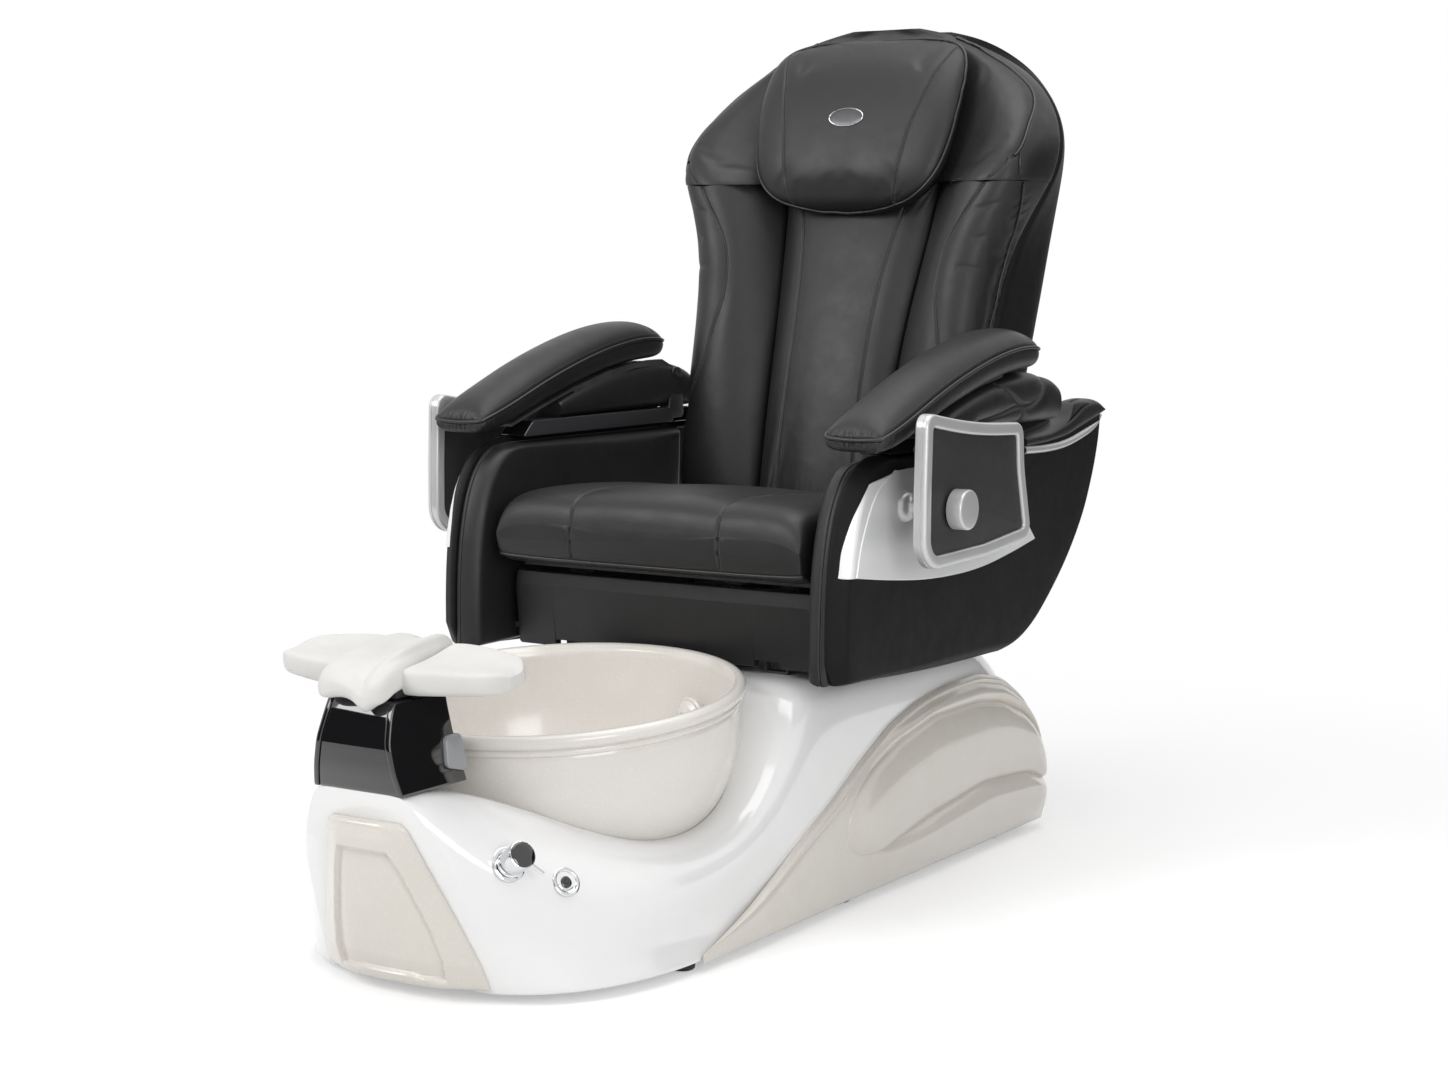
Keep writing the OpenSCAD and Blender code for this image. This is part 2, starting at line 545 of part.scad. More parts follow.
floor_z = 420;
pan_t = 8;
pan_z = seat_z - soft_gap - pan_t;
panel_f = basin_y + rim_r - 1;
panel_y = panel_f + 26;
tail_y = 1150;
ear_x = 272;
ear_t = 8;
module seat_carriage() {
    shoe_z = deck_z + soft_gap + rail_t + slide_gap;
    neck = rail_w / 2 - 12 - slide_gap;
    color(steel) home() {
        for (s = [-1, 1]) translate([s * rail_x, 0, 0]) {
            translate([-rail_w / 2 + rail_t + slide_gap, 640, shoe_z])
                cube([rail_w - 2 * rail_t - 2 * slide_gap, 420, rail_h - 2 * rail_t - 2 * slide_gap]);
            translate([-neck, 640, shoe_z + 5]) cube([2 * neck, 420, floor_z - shoe_z - 5]);
        }
        translate([-arm_in_x + soft_gap, panel_y + soft_gap, floor_z])
            cube([2 * arm_in_x - 2 * soft_gap, tail_y - panel_y - soft_gap, pan_t]);
        for (x = [-230, 222], y = [panel_y + 32, 1030]) translate([x, y, floor_z + pan_t])
            cube([8, 60, pan_z - floor_z - pan_t]);
        translate([-seat_x + 8, panel_y - 6, pan_z]) cube([2 * seat_x - 16, 1076 - panel_y, pan_t]);
        for (s = [-1, 1]) {
            side_plate(rounded([[1085, floor_z + pan_t], [1140, floor_z + pan_t], [hinge_y + 20, hinge_z + 20],
                [hinge_y - 20, hinge_z + 20]], [1, 1, 18, 18]), s * ear_x - ear_t / 2, s * ear_x + ear_t / 2);
            translate([s * ear_x - s * 24, hinge_y, hinge_z]) rotate([0, s * 90, 0])
                cylinder(r = hinge_r, h = 22);
        }
    }
}
module seat_panel() {
    w = seat_x - 1;
    p = rounded([[panel_f + 10, chair_z + 2], [panel_y, chair_z + 2], [panel_y, seat_z - 16],
        [panel_f + 4, seat_z - 16], [panel_f, seat_z - 40]], [5, 2, 2, 8, 20]);
    color(hide) home() difference() {
        side_plate(p, -w, w);
        for (s = [-1, 1]) translate([s * rail_x - rail_w / 2 - 2, panel_f - 30, chair_z])
            cube([rail_w + 4, 100, deck_z + rail_h + 2 - chair_z]);
    }
}
// Cushion with a rolled front, a crowned top and two sewn channels.
seam_x = 145;
module seat_cushion() {
    h0 = seat_top - seat_z;
    rows = [[536, 0.985, 40, 0.69], [540, 0.99, 18, 0.875], [556, 1, 4, 0.985], [600, 1, 0, 1],
        [700, 1, 0, 0.99], [820, 1, 0, 0.92], [940, 1, 0, 0.81], [1030, 1, 0, 0.7], [1054, 0.99, 6, 0.61],
        [1060, 0.98, 20, 0.47]];
    function half(w, lo, hi) = [[w * 0.5, lo], [w - 12, lo], [w, lo + 6], [w, (lo + hi) / 2],
        [w - 4, hi - 16], [w - 40, hi + 1], [seam_x + 36, hi + 4], [seam_x, hi - 9], [seam_x - 36, hi + 5],
        [40, hi + 6]];
    color(hide) home() loft([for (r = rows) let(h = half(seat_x * r[1], seat_z + r[2], seat_z + r[3] * h0))
        [each [for (p = h) [p.x, r[0], p.y]],
         each [for (i = [len(h) - 1 : -1 : 0]) [-h[i].x, r[0], h[i].y]]]], 1, 2);
}

// ---- Arms ----------------------------------------------------------------------------------
// Front edge and top of an arm in side view, from the lower front corner to the top.
arm_front = [[506, 394], [502, 430], [502, 480], [505, 540], [513, 600], [530, 660], [556, 705], [590, 733],
    [630, arm_z]];
arm_back = [[1150, arm_z], [1240, arm_z + 4], [1320, arm_z + 22], [1380, arm_z + 50], [1430, arm_z + 52],
    [1458, arm_z + 42], [1464, arm_z + 18], [1455, arm_z - 30], [1432, arm_z - 90], [1394, arm_z - 158],
    [1330, arm_z - 232], [1250, arm_z - 300], [1180, arm_z - 345], [1110, 376], [1040, 374], [830, 378],
    [600, 390]];
arm_side = [each [for (i = [len(arm_back) - 1 : -1 : 0]) arm_back[i]],
    each [for (i = [len(arm_front) - 1 : -1 : 0]) arm_front[i]]];
function shrink(p, w) = let(c = [960, 600]) [for (q = p) q + (c - q) / norm(c - q) * w];
module arm_shell() {
    x = arm_seam_x + soft_gap;
    skin([for (s = [[x, 1], [x + 5, 0], [arm_out_x - 6, 12], [arm_out_x, 19]])
        [for (q = shrink(arm_side, s[1])) [s[0], q.x, q.y]]]);
}
module arm_shell_left() { color(hide) home() arm_shell(); }
module arm_shell_right() { color(hide) home() other_side() arm_shell(); }
module arm_inner() {
    body = [[1150, chair_z], [1150, arm_z - 8], each [for (i = [len(arm_front) - 1 : -1 : 1])
        arm_front[i] + [4, i == len(arm_front) - 1 ? -8 : -4]], [508, chair_z]];
    function ring_at(x, w) = [for (q = body) let(c = [1000, 590], d = c - q) concat([x], q + d / norm(d) * w)];
    skin([ring_at(arm_in_x, 26), ring_at(arm_in_x + 5, 12), ring_at(arm_in_x + 16, 3),
        ring_at(arm_in_x + 30, 0), ring_at(arm_seam_x - 6, 0), ring_at(arm_seam_x, 4)]);
}
module arm_inner_left() { color(hide) home() arm_inner(); }
module arm_inner_right() { color(hide) home() other_side() arm_inner(); }
// Silver leaf on the side of the arm, and the thin strip above its tail.
trim_leaf = [[520, 566], [640, 552], [760, 540], [880, 536], [980, 540], [1080, 552], [1168, 566], [1120, 610],
    [1050, 655], [960, 690], [860, 712], [740, 722], [664, 722], [616, 706], [574, 674], [544, 630]];
trim_strip = [[1140, 716], [1220, 714], [1300, 718], [1380, 732], [1440, 748], [1446, 760], [1380, 745],
    [1300, 731], [1220, 727], [1140, 729]];
module arm_trim() {
    for (p = [trim_leaf, trim_strip])
        side_plate(p, arm_out_x + soft_gap, arm_out_x + soft_gap + trim_t);
}
module arm_trim_left() { color(silver) home() arm_trim(); }
module arm_trim_right() { color(silver) home() other_side() arm_trim(); }

rail_top = arm_z + 28;
rest_pin = [1142, arm_z + 90];
module arm_rail() {
    x0 = rest_in_x + 4;
    difference() {
        union() {
            side_plate(rounded([[660, arm_z + soft_gap], [1128, arm_z + soft_gap], [1128, rail_top],
                [690, rail_top]], [3, 3, 4, 16]), x0, arm_seam_x + 24);
            for (x = [x0, x0 + 17]) side_plate(rounded([[1112, rail_top - 20], [1164, rail_top - 20],
                [rest_pin.x + 15, rest_pin.y + 14], [rest_pin.x - 15, rest_pin.y + 14]], [2, 10, 13, 13]),
                x, x + 6);
        }
        translate([0, rest_pin.x, rest_pin.y]) rotate([0, 90, 0]) cylinder(r = rest_pin_r + run, h = 500);
    }
}
module arm_rail_left() { color(gloss) home() arm_rail(); }
module arm_rail_right() { color(gloss) home() other_side() arm_rail(); }

// Armrest: station, height of the piping, crown above it, depth below it.
rest_rows = [[548, 778, 4, 14], [552, 782, 14, 24], [572, 788, 26, 32], [630, 805, 32, 38], [720, 838, 34, 40],
    [820, 868, 34, 42], [920, 892, 33, 42], [1010, 905, 30, 42], [1070, 906, 26, 40], [1096, 902, 18, 34],
    [1104, 900, 8, 22]];
// Underside of the pad, where its skin meets each row.
rest_low = [for (i = [1 : len(rest_rows) - 2]) let(p = [for (k = [-1 : 1]) rest_rows[i + k]])
    (p[0] + 4 * p[1] + p[2]) * [[1, 0], [0, 1], [0, 0], [0, -1]] / 6];
module armrest_pad() {
    mid = (rest_in_x + rest_out_x) / 2;
    w = (rest_out_x - rest_in_x) / 2;
    loft([for (r = rest_rows) let(n = r[0] < 550 || r[0] > 1100 ? 0.82 : (r[0] < 560 || r[0] > 1090 ? 0.93 : 1))
        [for (p = [[0.6, -1], [0.96, -0.8], [1.03, -0.2], [0.94, 0.45], [0.5, 1.05], [0, 1.15], [-0.5, 1.05],
            [-0.94, 0.45], [-1.03, -0.2], [-0.96, -0.8], [-0.6, -1], [0, -1]])
            [mid + p.x * w * n, r[0], r[1] + p.y * (p.y > 0 ? r[2] : r[3])]]], 2, 1);
}
module armrest_pad_left() { color(hide) home() armrest_pad(); }
module armrest_pad_right() { color(hide) home() other_side() armrest_pad(); }
module armrest_bracket() {
    x0 = rest_in_x + 4 + 6 + 0.5;
    low = function (y) at(rest_low, y) - soft_gap;
    ys = [for (r = rest_low) if (r[0] > 600 && r[0] < 1050) r[0]];
    side_plate([each [for (y = ys) [y, low(y) - 5]],
        each [for (i = [len(ys) - 1 : -1 : 0]) [ys[i], low(ys[i])]]], x0, x0 + 76);
    side_plate([[820, low(820) - 10], [1010, low(1010) - 10], [1060, low(1060) - 12],
        [rest_pin.x - 8, rest_pin.y - 12], [rest_pin.x + 8, rest_pin.y - 8], [rest_pin.x + 12, rest_pin.y],
        [rest_pin.x + 6, rest_pin.y + 10], [1100, low(1090) - 4], [1060, low(1060) - 1], [1010, low(1010) - 1],
        [820, low(820) - 1]], x0, x0 + 10);
    translate([rest_in_x + 2, rest_pin.x, rest_pin.y]) rotate([0, 90, 0]) cylinder(r = rest_pin_r, h = 27);
}
module armrest_bracket_left() { color(steel) home() armrest_bracket(); }
module armrest_bracket_right() { color(steel) home() other_side() armrest_bracket(); }
module arm_pouch() {
    x0 = rest_in_x + 29;
    x1 = rest_out_x - 10;
    rows = [[770, 4], [776, 1], [840, 0], [930, 0], [1020, 0], [1080, 0], [1130, 4], [1176, 14], [1196, 26]];
    loft([for (r = rows) let(y = r[0], hi = at(rest_low, min(y, 1080)) - 18 - r[1], lo = rail_top + soft_gap,
        w = (x1 - x0) / 2, m = (x0 + x1) / 2)
        [for (p = [[0.6, 0], [0.95, 0.1], [1.05, 0.5], [0.95, 0.9], [0.6, 1], [0, 1], [-0.6, 1], [-0.95, 0.9],
            [-1, 0.5], [-0.95, 0.1], [-0.6, 0], [0, 0]]) [m + p.x * w, y, lo + p.y * max(8, hi - lo)]]], 1, 2);
}
module arm_pouch_left() { color(hide) home() arm_pouch(); }
module arm_pouch_right() { color(hide) home() other_side() arm_pouch(); }

// ---- Side trays ----------------------------------------------------------------------------
tray_line = [[590, 573], [800, 577], [968, 592], [938, 712], [932, 787], [596, 821], [591, 700]];
tray_corner = [50, 300, 26, 140, 28, 24, 200];
knob_at = [690, 664];
mount_x = arm_out_x + soft_gap + trim_t;
hub_x = tray_in_x - 6;
// Flared bosses on the arms; a sleeve ends at the tray's hub and a spindle runs on into the knob.
module tray_mounts() {
    color(silver) home() for (m = [0, 1]) mirror([m, 0, 0]) translate([mount_x, knob_at.x, knob_at.y])
        rotate([0, 90, 0]) rotate_extrude() polygon([[0, 0], [26, 0], [24, 8], [15, 16], [13, 30],
            [13, hub_x - soft_gap - mount_x], [spindle_r, hub_x - soft_gap - mount_x],
            [spindle_r, tray_in_x + tray_t + 8 - mount_x], [0, tray_in_x + tray_t + 8 - mount_x]]);
}
module tray() {
    rim = rounded(tray_line, tray_corner, 8);
    field = rounded(inset(tray_line, tray_rim), [for (r = tray_corner) max(8, r - tray_rim)], 8);
    difference() {
        union() {
            difference() {
                side_plate(rim, tray_in_x, tray_in_x + tray_t);
                side_plate(field, tray_in_x - 1, tray_in_x + tray_t + 1);
            }
            side_plate(field, tray_in_x + 5, tray_in_x + tray_t - 5);
            translate([hub_x, knob_at.x, knob_at.y]) rotate([0, 90, 0]) cylinder(r = 24, h = 14);
        }
        translate([tray_in_x - 10, knob_at.x, knob_at.y]) rotate([0, 90, 0])
            cylinder(r = spindle_r + run, h = tray_t + 20);
    }
}
module tray_left() { color(silver) home() tray(); }
module tray_right() { color(silver) home() other_side() tray(); }
module tray_knob() {
    translate([tray_in_x + tray_t - 5 + soft_gap, knob_at.x, knob_at.y]) rotate([0, 90, 0]) rotate_extrude()
        polygon([[0, 14], [spindle_r + run, 14], [spindle_r + run, 0], [knob_r - 6, 0], [knob_r - 4, 4],
            [knob_r, 6], [knob_r, 29], [knob_r - 2, 31], [0, 31]]);
}
module tray_knob_left() { color(silver) home() tray_knob(); }
module tray_knob_right() { color(silver) home() other_side() tray_knob(); }

// ---- Back ----------------------------------------------------------------------------------
// Front of the centre cushion against height.
back_line = [[540, 1066], [612, 1072], [700, 1088], [841, 1122], [978, 1166], [1119, 1218], [1260, 1266],
    [1345, 1296], [1460, 1340]];
function front_at(z) = at(back_line, z);
// Rear of the back shell against height.
rear_line = [[560, 1270], [612, 1310], [700, 1345], [800, 1392], [904, 1432], [985, 1458], [1077, 1470],
    [1160, 1474], [1225, 1472], [1290, 1463], [1350, 1446], [1400, 1418], [1440, 1384], [1460, 1366]];
// Half width of the back against height.
back_wide = [[560, 290], [640, 294], [834, 292], [939, 292], [1050, 300], [1094, 308], [1151, 330], [1200, 348],
    [1243, 354], [1282, 346], [1344, 306], [1394, 252], [1431, 192], [1448, 140], [1460, 80]];
function wide_at(z) = at(back_wide, z);
// Where the padded layers end and the shell begins; the two thin out together at the crown.
function seat_of_pads(z) = min(front_at(z) + pad_t, at(rear_line, z) - 18);
module back_shell() {
    zs = [back_z, 640, 700, 800, 900, 985, 1077, 1140, 1200, 1243, 1282, 1320, 1360, 1400, 1430, 1448, 1456];
    color(hide) home() loft([for (z = zs) let(w = wide_at(z) - 2, f = seat_of_pads(z) + (z > 1340 ? 2.6 : 0.7),
        r = at(rear_line, z), c = min(40, w * 0.4))
        [for (p = [[w * 0.5, f], [w, f], [w, f + 0.1 * (r - f)], [w, f + 0.6 * (r - f)], [w - 6, r - 0.2 * (r - f)],
            [w - c, r], [w * 0.3, r + 2]]) [p.x, p.y, z],
         for (p = [[w * 0.3, r + 2], [w - c, r], [w - 6, r - 0.2 * (r - f)], [w, f + 0.6 * (r - f)],
            [w, f + 0.1 * (r - f)], [w, f], [w * 0.5, f]]) [-p.x, p.y, z]]], 2, 1);
}
groove = [[612, 128], [841, 132], [978, 140], [1119, 156], [1190, 164]];
upper_z = 1190;
module back_cushion() {
    zs = [back_z, 620, 660, 760, 860, 960, 1060, 1130, 1170, upper_z - 1];
    color(hide) home() loft([for (z = zs) let(g = at(groove, z), f = front_at(z), b = f + pad_t,
        e = z < 616 || z > 1185 ? 14 : 0)
        [for (p = [[g, b], [g, f + 34], [g - 4, f + 20 + e], [g - 26, f + 4 + e], [g - 50, f + 6 + e],
            [g - 80, f - 4 + e], [g * 0.2, f - 10 + e]]) [p.x, p.y, z],
         for (p = [[g * 0.2, f - 10 + e], [g - 80, f - 4 + e], [g - 50, f + 6 + e], [g - 26, f + 4 + e],
            [g - 4, f + 20 + e], [g, f + 34], [g, b]]) [-p.x, p.y, z]]], 2, 2);
}
// How far the bolsters stand forward of the centre cushion.
wing_fwd = [[612, 6], [700, 22], [841, 34], [978, 48], [1119, 70], [1190, 82]];
module bolster() {
    zs = [back_z, 622, 660, 760, 860, 960, 1060, 1130, 1170, upper_z - 1];
    loft([for (z = zs) let(g = at(groove, z) + soft_gap, w = wide_at(z), f = front_at(z), b = f + pad_t,
        a = f - at(wing_fwd, z), m = (g + w) / 2, e = z < 616 || z > 1185 ? 12 : 0)
        [for (p = [[g, b], [g, f + 32], [g + 3, f + 14], [g + (m - g) * 0.5, (f + a) / 2 + e], [m, a + e],
            [w - 22, a + 4 + e], [w - 3, a + 26 + e], [w, f], [w, b - 8], [w - 4, b], [m, b]])
            [p.x, p.y, z]]], 2, 2);
}
module bolster_left() { color(hide) home() bolster(); }
module bolster_right() { color(hide) home() other_side() bolster(); }
module shoulder_cushion() {
    rows = [[upper_z, 84, 12], [1200, 86, 0], [1243, 80, 0], [1282, 62, 0], [1320, 40, 0], [1360, 22, 0],
        [1400, 10, 0], [1430, 4, 2], [1448, 3, 2], [1456, 2, 2]];
    color(hide) home() loft([for (r = rows) let(z = r[0], w = wide_at(z) + 1, f = front_at(z), b = seat_of_pads(z),
        a = f - r[1] + r[2], e = min(8, 0.3 * (b - a)))
        [for (p = [[w * 0.5, b], [w - 4, b], [w, b - e], [w, (a + 3 * b) / 4 - e],
            [w - 3, a + 0.3 * (b - a)], [w - 22, a + e / 2], [w * 0.86, a], [w * 0.72, (a + f) / 2],
            [w * 0.52, f], [w * 0.3, f + 4]]) [p.x, p.y, z],
         for (p = [[w * 0.3, f + 4], [w * 0.52, f], [w * 0.72, (a + f) / 2], [w * 0.86, a], [w - 22, a + e / 2],
            [w - 3, a + 0.3 * (b - a)], [w, (a + 3 * b) / 4 - e], [w, b - e], [w - 4, b], [w * 0.5, b]])
            [-p.x, p.y, z]]], 1, 2);
}
lever_x = 60;
lever_z = hinge_z - 78;
pin_r = 5;
module back_frame() {
    in_x = ear_x - ear_t / 2 - 1;
    color(steel) home() difference() {
        union() {
            for (s = [-1, 1]) side_plate(rounded([[hinge_y - 18, hinge_z - 18], [hinge_y + 18, hinge_z - 18],
                [1236, back_z - soft_gap - 12], [1236, back_z - soft_gap - 1], [1150, back_z - soft_gap - 1]],
                [16, 16, 2, 2, 6]), s * in_x - (s > 0 ? 10 : 0), s * in_x + (s > 0 ? 0 : 10));
            translate([4 - in_x, 1160, back_z - soft_gap - 8]) cube([2 * in_x - 8, 70, 8]);
            side_plate(rounded([[hinge_y - 12, lever_z - 12], [hinge_y + 12, lever_z - 12],
                [1200, back_z - soft_gap - 3], [1165, back_z - soft_gap - 3]], [10, 10, 1, 1]),
                lever_x - 4, lever_x + 4);
            translate([lever_x - 13, hinge_y, lever_z]) rotate([0, 90, 0]) cylinder(r = pin_r, h = 26);
        }
        for (s = [-1, 1]) translate([s * in_x - s * 20, hinge_y, hinge_z]) rotate([0, s * 90, 0])
            cylinder(r = hinge_r + run, h = 40);
    }
}
// Actuator under the seat; the fork of its rod takes the lever's pin in upright slots.
act_y = [700, 990];
rod_r = 9;
module recline_actuator() {
    color(steel) home() difference() {
        union() {
            translate([lever_x, act_y[0] + 60, lever_z]) rotate([-90, 0, 0])
                cylinder(r = 20, h = act_y[1] - act_y[0] - 60);
            translate([lever_x - 24, act_y[0], floor_z + pan_t + soft_gap])
                cube([48, 60, lever_z + 30 - floor_z - pan_t]);
        }
        translate([lever_x, act_y[0] + 90, lever_z]) rotate([-90, 0, 0])
            cylinder(r = rod_r + run, h = 400);
    }
}
module actuator_rod() {
    color(steel) home() {
        translate([lever_x, act_y[0] + 140, lever_z]) rotate([-90, 0, 0]) cylinder(r = rod_r, h = 260);
        translate([lever_x - 12, hinge_y - 34, lever_z - 12]) cube([24, 12, 24]);
        difference() {
            for (x = [lever_x - 12, lever_x + 5]) translate([x, hinge_y - 34, lever_z - 14])
                cube([7, 50, 40]);
            translate([0, hinge_y - pin_r - 0.8, lever_z - pin_r - 2])
                cube([200, 2 * pin_r + 1.6, 22 + pin_r]);
        }
    }
}
// Cover under the tail of the chair, between the arms.
module rear_cover() {
    y = tail_y + soft_gap;
    color(hide) home() difference() {
        side_plate([[y, 396], [1186, 402], [1246, 446], [1290, 492], [1284, 498], [1240, 454], [1184, 410],
            [y + 7, 404], [y + 7, 430], [y, 430]], -arm_seam_x, arm_seam_x);
        for (x = [-120 : 40 : 120]) translate([x - 4, 1200, 380]) cube([8, 34, 90]);
    }
}

// ---- Head pillow ---------------------------------------------------------------------------
pillow_rows = [[1134, 60, 14], [1140, 110, 26], [1160, 166, 44], [1200, 196, 58], [1250, 208, 66],
    [1310, 214, 72], [1370, 214, 66], [1415, 206, 52], [1440, 180, 34], [1452, 140, 16]];
pillow_gap = 14;
function pillow_back(z) = front_at(z) - pillow_gap;
module head_pillow() {
    color(hide) home() loft([for (r = pillow_rows) let(z = r[0], w = r[1], t = r[2], b = pillow_back(z))
        [for (p = [[0.9, 0], [1, -0.3], [0.97, -0.7], [0.8, -0.95], [0.45, -1.05]]) [p.x * w, b + p.y * t, z],
         for (p = [[0.45, -1.05], [0.8, -0.95], [0.97, -0.7], [1, -0.3], [0.9, 0]]) [-p.x * w, b + p.y * t, z]]],
        2, 2);
}
module pillow_badge() {
    color(silver) home() translate([0, pillow_back(1308) - 74, 1308]) rotate([90 - 18, 0, 0])
        linear_extrude(3) polygon([for (a = [0 : 10 : 350]) [27 * cos(a), 15 * sin(a)]]);
}

base_shell();
front_insert();
side_panel_left();
side_panel_right();
feet();
base_frame();
basin();
drain_body();
drain_stopper();
jet_housing();
jet_cap();
jet_motor();
drain_pump();
control_box();
pedestal_cover();
pedestal_cheeks();
pedestal_clips();
footrest_post();
footrest_centre();
footrest_wing_left();
footrest_wing_right();
faucet_escutcheon();
faucet_body();
faucet_handle();
button_ring();
air_button();
seat_rails();
seat_carriage();
seat_panel();
seat_cushion();
arm_inner_left();
arm_inner_right();
arm_shell_left();
arm_shell_right();
arm_trim_left();
arm_trim_right();
arm_rail_left();
arm_rail_right();
arm_pouch_left();
arm_pouch_right();
armrest_pad_left();
armrest_pad_right();
armrest_bracket_left();
armrest_bracket_right();
tray_mounts();
tray_left();
tray_right();
tray_knob_left();
tray_knob_right();
back_frame();
back_shell();
back_cushion();
bolster_left();
bolster_right();
shoulder_cushion();
head_pillow();
pillow_badge();
recline_actuator();
actuator_rod();
rear_cover();
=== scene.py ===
import math

import bmesh
import bpy
import numpy as np
from mathutils import Matrix, Vector
from mathutils.bvhtree import BVHTree


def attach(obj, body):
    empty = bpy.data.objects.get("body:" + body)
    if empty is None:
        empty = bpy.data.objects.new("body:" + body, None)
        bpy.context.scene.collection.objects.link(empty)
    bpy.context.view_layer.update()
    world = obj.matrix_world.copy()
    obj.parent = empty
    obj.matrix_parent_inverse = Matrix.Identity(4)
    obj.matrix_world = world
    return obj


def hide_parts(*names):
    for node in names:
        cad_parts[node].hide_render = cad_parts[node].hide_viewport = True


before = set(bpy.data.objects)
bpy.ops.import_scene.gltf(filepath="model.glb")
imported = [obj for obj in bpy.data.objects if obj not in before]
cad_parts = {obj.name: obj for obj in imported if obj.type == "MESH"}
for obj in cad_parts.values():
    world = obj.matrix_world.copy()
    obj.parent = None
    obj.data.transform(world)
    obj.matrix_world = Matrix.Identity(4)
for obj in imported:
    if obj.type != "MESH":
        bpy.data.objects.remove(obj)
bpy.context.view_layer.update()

# ---- Studio --------------------------------------------------------------------------------
# A pale seamless floor under three broad soft boxes, the main one to the left of the chair's
# front, and a long lens at chest height that looks down a little.
studio = bpy.context.scene
studio.view_settings.view_transform = "Standard"
lens = bpy.data.cameras.new("camera")
lens.lens, lens.sensor_width = 62.2, 36
camera = bpy.data.objects.new("camera", lens)
studio.collection.objects.link(camera)
heading, dip = math.radians(32.7), math.radians(6.7)
camera.location = (2.301, -3.449, 1.070)
camera.rotation_euler = Vector((-math.sin(heading) * math.cos(dip), math.cos(heading) * math.cos(dip),
                                -math.sin(dip))).to_track_quat("-Z", "Y").to_euler()
studio.camera = camera


def soft_box(name, place, size, watts):
    lamp = bpy.data.lights.new(name, "AREA")
    lamp.shape, lamp.size, lamp.size_y, lamp.energy = "RECTANGLE", size[0], size[1], watts
    box = bpy.data.objects.new(name, lamp)
    box.location = place
    box.rotation_euler = (Vector((0, 0, 0.6)) - Vector(place)).to_track_quat("-Z", "Y").to_euler()
    studio.collection.objects.link(box)


soft_box("key_box", (-1.9, -3.5, 3.0), (2.6, 2.0), 96)
soft_box("top_box", (0.5, 0.1, 3.8), (3.0, 2.4), 58)
soft_box("side_box", (3.2, -2.3, 1.5), (1.6, 1.6), 40)


def dark_card(name, x, y, wide, tall):
    """Black card stood on the floor off to one side, for gloss and metal to mirror."""
    mesh = bpy.data.meshes.new(name)
    mesh.from_pydata([(-wide / 2, 0, 0), (wide / 2, 0, 0), (wide / 2, 0, tall), (-wide / 2, 0, tall)], [],
        [(0, 1, 2, 3)])
    card = bpy.data.objects.new(name, mesh)
    studio.collection.objects.link(card)
    card.location, card.rotation_euler = (x, y, 0), (0, 0, math.atan2(-x, y))
    black = bpy.data.materials.new(name + "_felt")
    black.use_nodes = True
    felt = black.node_tree.nodes["Principled BSDF"]
    felt.inputs["Base Color"].default_value = (0.02, 0.02, 0.02, 1)
    felt.inputs["Roughness"].default_value = 0.9
    mesh.materials.append(black)
    card.visible_camera = card.visible_diffuse = card.visible_shadow = card.visible_transmission = False


dark_card("card_front", -1.5, -3.2, 3.0, 1.7)
dark_card("card_rear", 2.1, 2.6, 3.4, 1.9)


def links_of(tree):
    """Adds a node with its settings, and joins two sockets, in one node tree."""
    def node(kind, **settings):
        made_node = tree.nodes.new(kind)
        for key, value in settings.items():
            setattr(made_node, key, value)
        return made_node
    return node, tree.links.new


def seen_directly(node, join):
    """1 for what the camera sees straight on, in a mirror or through glass."""
    path = node("ShaderNodeLightPath")
    first = node("ShaderNodeMath", operation="MAXIMUM")
    second = node("ShaderNodeMath", operation="MAXIMUM")
    join(path.outputs["Is Camera Ray"], first.inputs[0])
    join(path.outputs["Is Glossy Ray"], first.inputs[1])
    join(first.outputs[0], second.inputs[0])
    join(path.outputs["Is Transmission Ray"], second.inputs[1])
    return second.outputs[0]


sky = bpy.data.worlds.new("sky")
studio.world = sky
sky.use_nodes = True
sky.node_tree.nodes.clear()
node, join = links_of(sky.node_tree)
ambient, backdrop = node("ShaderNodeBackground"), node("ShaderNodeBackground")
ambient.inputs["Strength"].default_value = 0.44
backdrop.inputs["Strength"].default_value = 1.0
for shade in (ambient, backdrop):
    shade.inputs["Color"].default_value = (1, 1, 1, 1)
blend_sky, sky_out = node("ShaderNodeMixShader"), node("ShaderNodeOutputWorld")
join(seen_directly(node, join), blend_sky.inputs[0])
join(ambient.outputs[0], blend_sky.inputs[1])
join(backdrop.outputs[0], blend_sky.inputs[2])
join(blend_sky.outputs[0], sky_out.inputs[0])

floor_mesh = bpy.data.meshes.new("floor")
floor_mesh.from_pydata([(-9, -9, -2e-4), (9, -9, -2e-4), (9, 9, -2e-4), (-9, 9, -2e-4)], [], [(0, 1, 2, 3)])
floor = bpy.data.objects.new("floor", floor_mesh)
studio.collection.objects.link(floor)
floor_paint = bpy.data.materials.new("floor_paint")
floor_paint.use_nodes = True
floor_paint.node_tree.nodes.clear()
node, join = links_of(floor_paint.node_tree)
paint, glow, clear = node("ShaderNodeBsdfDiffuse"), node("ShaderNodeEmission"), node("ShaderNodeEmission")
paint.inputs["Color"].default_value = (0.8, 0.8, 0.8, 1)
direct = seen_directly(node, join)
lift = node("ShaderNodeMath", operation="MULTIPLY")
lift.inputs[1].default_value = 0.34
join(direct, lift.inputs[0])
join(lift.outputs[0], glow.inputs["Strength"])
both, floor_out = node("ShaderNodeAddShader"), node("ShaderNodeOutputMaterial")
join(paint.outputs[0], both.inputs[0])
join(glow.outputs[0], both.inputs[1])
place, from_chair = node("ShaderNodeTexCoord"), node("ShaderNodeVectorMath", operation="LENGTH")
fade = node("ShaderNodeMapRange")
fade.interpolation_type = "SMOOTHSTEP"
